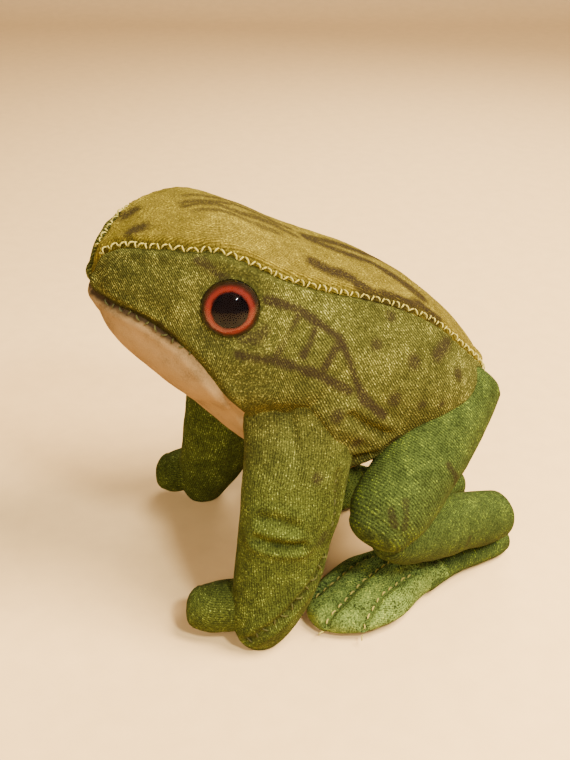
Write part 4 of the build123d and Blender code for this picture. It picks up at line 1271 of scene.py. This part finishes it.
class FROG_OT_eyes(bpy.types.Operator):
    """Turn the two glass eyes and set them in the head"""
    bl_idname = "frog.eyes"
    bl_label = "Glass eyes"

    def execute(self, context):
        radius, dome = size("eye_diameter") / 2, size("eye_dome")
        iris, pupil = size("iris_diameter") / 2, size("pupil_diameter") / 2
        ball = (radius ** 2 + dome ** 2) / (2 * dome)
        angle = np.linspace(0, 2 * pi, 64, endpoint=False)
        for side in SIDES:
            seat, facing = eye_seat(SIDES[side])
            a = unit(np.cross(facing, [0.0, 0.0, 1.0]))
            b = np.cross(facing, a)

            def turned(profile):
                """A profile of (radius, height) pairs carried round the eye's axis."""
                profile = np.asarray(profile, float)
                return (seat + facing * profile[:, 1][:, None, None]
                        + profile[:, 0][:, None, None]
                        * (a * np.cos(angle)[:, None] + b * np.sin(angle)[:, None]))

            edge = np.linspace(0.02, 1, 26)
            dome_profile = [(radius * r, sqrt(max(ball ** 2 - (radius * r) ** 2, 0)) - ball + dome)
                            for r in edge]
            lens = dome_profile + [(radius + 0.06, -0.15), (radius, -0.4), (radius * 0.96, -0.5),
                                   (radius * 0.5, -0.5), (0.05, -0.5)]
            # the enamel and the pupil lie inside the glass, on a shallow dish near its back
            shell = turned(lens)
            glass = grid_mesh(f"{side.title()}EyeGlass", shell, tube_uv(shell), closed=True,
                              material=material_named("glass"), cap_start=True, cap_end=True)
            place_piece(glass, "trunk", [f"{side}_eye_glass"])
            edge_out = radius * 0.985
            ring = [(r, 0.3 - 0.24 * (r / edge_out) ** 4) for r in np.linspace(pupil * 0.8, edge_out, 22)]
            back = [(edge_out, -0.1), (iris * 0.7, -0.2), (pupil * 0.8, -0.2)]
            disc = turned(ring + back + ring[:1])
            reach = (np.linspace(pupil * 0.8, edge_out, 22) - pupil) / (edge_out - pupil)
            shade = np.concatenate([reach, np.ones(4)])[:, None] * np.ones(64)
            piece = grid_mesh(f"{side.title()}EyeIris", disc, tube_uv(disc), {"shade": shade}, closed=True,
                              material=material_named("iris"))
            place_piece(piece, "trunk", [f"{side}_eye_iris"])
            crown = [(max(pupil * r, 0.03), 0.62 + 0.32 * (1 - r ** 2)) for r in np.linspace(0, 1, 14)]
            black = turned(crown + [(pupil * 0.99, 0.5), (pupil * 0.9, 0.2), (0.03, 0.2)])
            piece = grid_mesh(f"{side.title()}EyePupil", black, tube_uv(black), closed=True,
                              material=material_named("pupil"), cap_start=True, cap_end=True)
            place_piece(piece, "trunk", [f"{side}_eye_pupil"])
            for node, key in ((f"{side}_eye_shank", "wire"), (f"{side}_knee_tack_thread", "dark_thread")):
                finish_node(node, key)
        finish_node("eye_tie_thread", "thread")
        return {"FINISHED"}


def finish_node(node, key):
    """Give a part whose shape is kept its finer material."""
    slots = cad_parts[node].data.materials
    slots.clear()
    slots.append(material_named(key))


class FROG_OT_stage(bpy.types.Operator):
    """Set the floor, the backdrop, the lights and the camera"""
    bl_idname = "frog.stage"
    bl_label = "Stage"

    def execute(self, context):
        # a floor that curves up into a wall, away from the camera
        camera_way = np.array([sin(radians(74)), -cos(radians(74))])
        side_way = np.array([camera_way[1], -camera_way[0]])
        bend = np.linspace(0, pi / 2, 24)
        deep = np.concatenate([[700.0, 300, 0], -520 - 160 * np.sin(bend), [-680]])
        high = np.concatenate([[0.0, 0, 0], 160 - 160 * np.cos(bend), [900]])
        sideways = np.linspace(-900, 900, 31)
        flat = camera_way * deep[:, None, None] + side_way * sideways[None, :, None]
        points = np.concatenate([flat, np.broadcast_to(high[:, None, None], flat.shape[:2] + (1,))], -1)
        uv = points[..., :2]
        material, surface = new_material("Matt paper",
                                         {"Roughness": 0.9, "IOR": 1.45, "Specular IOR Level": 0.15})
        place = add_node(material, "ShaderNodeTexCoord")
        parts = add_node(material, "ShaderNodeSeparateXYZ", Vector=(place, "Object"))
        rise = add_node(material, "ShaderNodeMapRange", {"From Min": 0.0, "From Max": 0.12},
                        Value=(parts, "Z"))
        grain = add_node(material, "ShaderNodeTexNoise", {"Scale": per_mm(5.0), "Detail": 5.0},
                         Vector=(place, "Object"))
        paper = ramp(material, [(0.3, paint("floor", 0.94)), (0.7, paint("floor"))], grain, "Fac")
        mix = add_node(material, "ShaderNodeMix", {"data_type": "RGBA", 7: paint("wall")},
                       n0=(rise, "Result"), n6=(paper, "Color"))
        join(material, mix, 2, surface, "Base Color")
        sweep = grid_mesh("Backdrop", points, uv, material=material)

        # the broad lights stay out of the glass eyes, where only the small one glints
        for name, place, target, width, watts, tint, glints in (
                ("Key", (150, 190, 390), (0, 0, 30), 240, 11.0, (1.0, 0.95, 0.88), False),
                ("Fill", (380, -300, 220), (0, 0, 40), 420, 4.4, (1.0, 0.97, 0.94), False),
                ("Rim", (-260, 160, 260), (0, 0, 50), 240, 2.2, (0.92, 0.95, 1.0), False),
                ("Glint", (300, 60, 330), (19, -20, 65), 60, 3.5, (0.85, 0.92, 1.0), True)):
            light = bpy.data.lights.new(name, "AREA")
            light.shape = "DISK"
            light.size, light.energy, light.color = width * MM, watts, tint
            lamp = bpy.data.objects.new(name, light)
            lamp.location = Vector(place) * MM
            lamp.rotation_mode = "QUATERNION"
            lamp.rotation_quaternion = (Vector(target) - Vector(place)).to_track_quat("-Z", "Y")
            lamp.visible_glossy = glints
            bpy.context.scene.collection.objects.link(lamp)

        world = bpy.data.worlds.new("Soft studio")
        bpy.context.scene.world = world
        world.use_nodes = True
        world.node_tree.nodes["Background"].inputs["Color"].default_value = (0.95, 0.93, 0.92, 1)
        world.node_tree.nodes["Background"].inputs["Strength"].default_value = 0.24

        lens = bpy.data.cameras.new("Camera")
        lens.lens, lens.sensor_width, lens.clip_start = 56.84, 36.0, 0.01
        camera = bpy.data.objects.new("Camera", lens)
        target, place = Vector((0, -5.3, 40.6)), Vector((194.9, -61.2, 148.4))
        camera.location = place * MM
        camera.rotation_mode = "QUATERNION"
        camera.rotation_quaternion = (target - place).to_track_quat("-Z", "Y")
        bpy.context.scene.collection.objects.link(camera)
        bpy.context.scene.camera = camera
        return {"FINISHED"}


class FROG_PT_panel(bpy.types.Panel):
    """The frog's sizes, colours and making steps"""
    bl_label = "Velvet frog"
    bl_idname = "FROG_PT_panel"
    bl_space_type = "VIEW_3D"
    bl_region_type = "UI"
    bl_category = "Frog"

    def draw(self, context):
        layout = self.layout
        for step in STEPS:
            layout.operator(step.bl_idname)
        for group in (context.scene.frog_sizes, context.scene.frog_colours):
            box = layout.box()
            for name in group.__annotations__:
                box.prop(group, name)


STEPS = (FROG_OT_trunk, FROG_OT_arms, FROG_OT_legs, FROG_OT_feet, FROG_OT_seams, FROG_OT_eyes, FROG_OT_stage)
CLASSES = (FrogSizes, FrogColours) + STEPS + (FROG_PT_panel,)


def register():
    for item in CLASSES:
        bpy.utils.register_class(item)
    bpy.types.Scene.frog_sizes = bpy.props.PointerProperty(type=FrogSizes)
    bpy.types.Scene.frog_colours = bpy.props.PointerProperty(type=FrogColours)


def unregister():
    del bpy.types.Scene.frog_colours
    del bpy.types.Scene.frog_sizes
    for item in reversed(CLASSES):
        bpy.utils.unregister_class(item)


def main():
    """Register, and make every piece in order."""
    register()
    for step in STEPS:
        group, name = step.bl_idname.split(".")
        getattr(getattr(bpy.ops, group), name)()


if __name__ == "__main__":
    main()
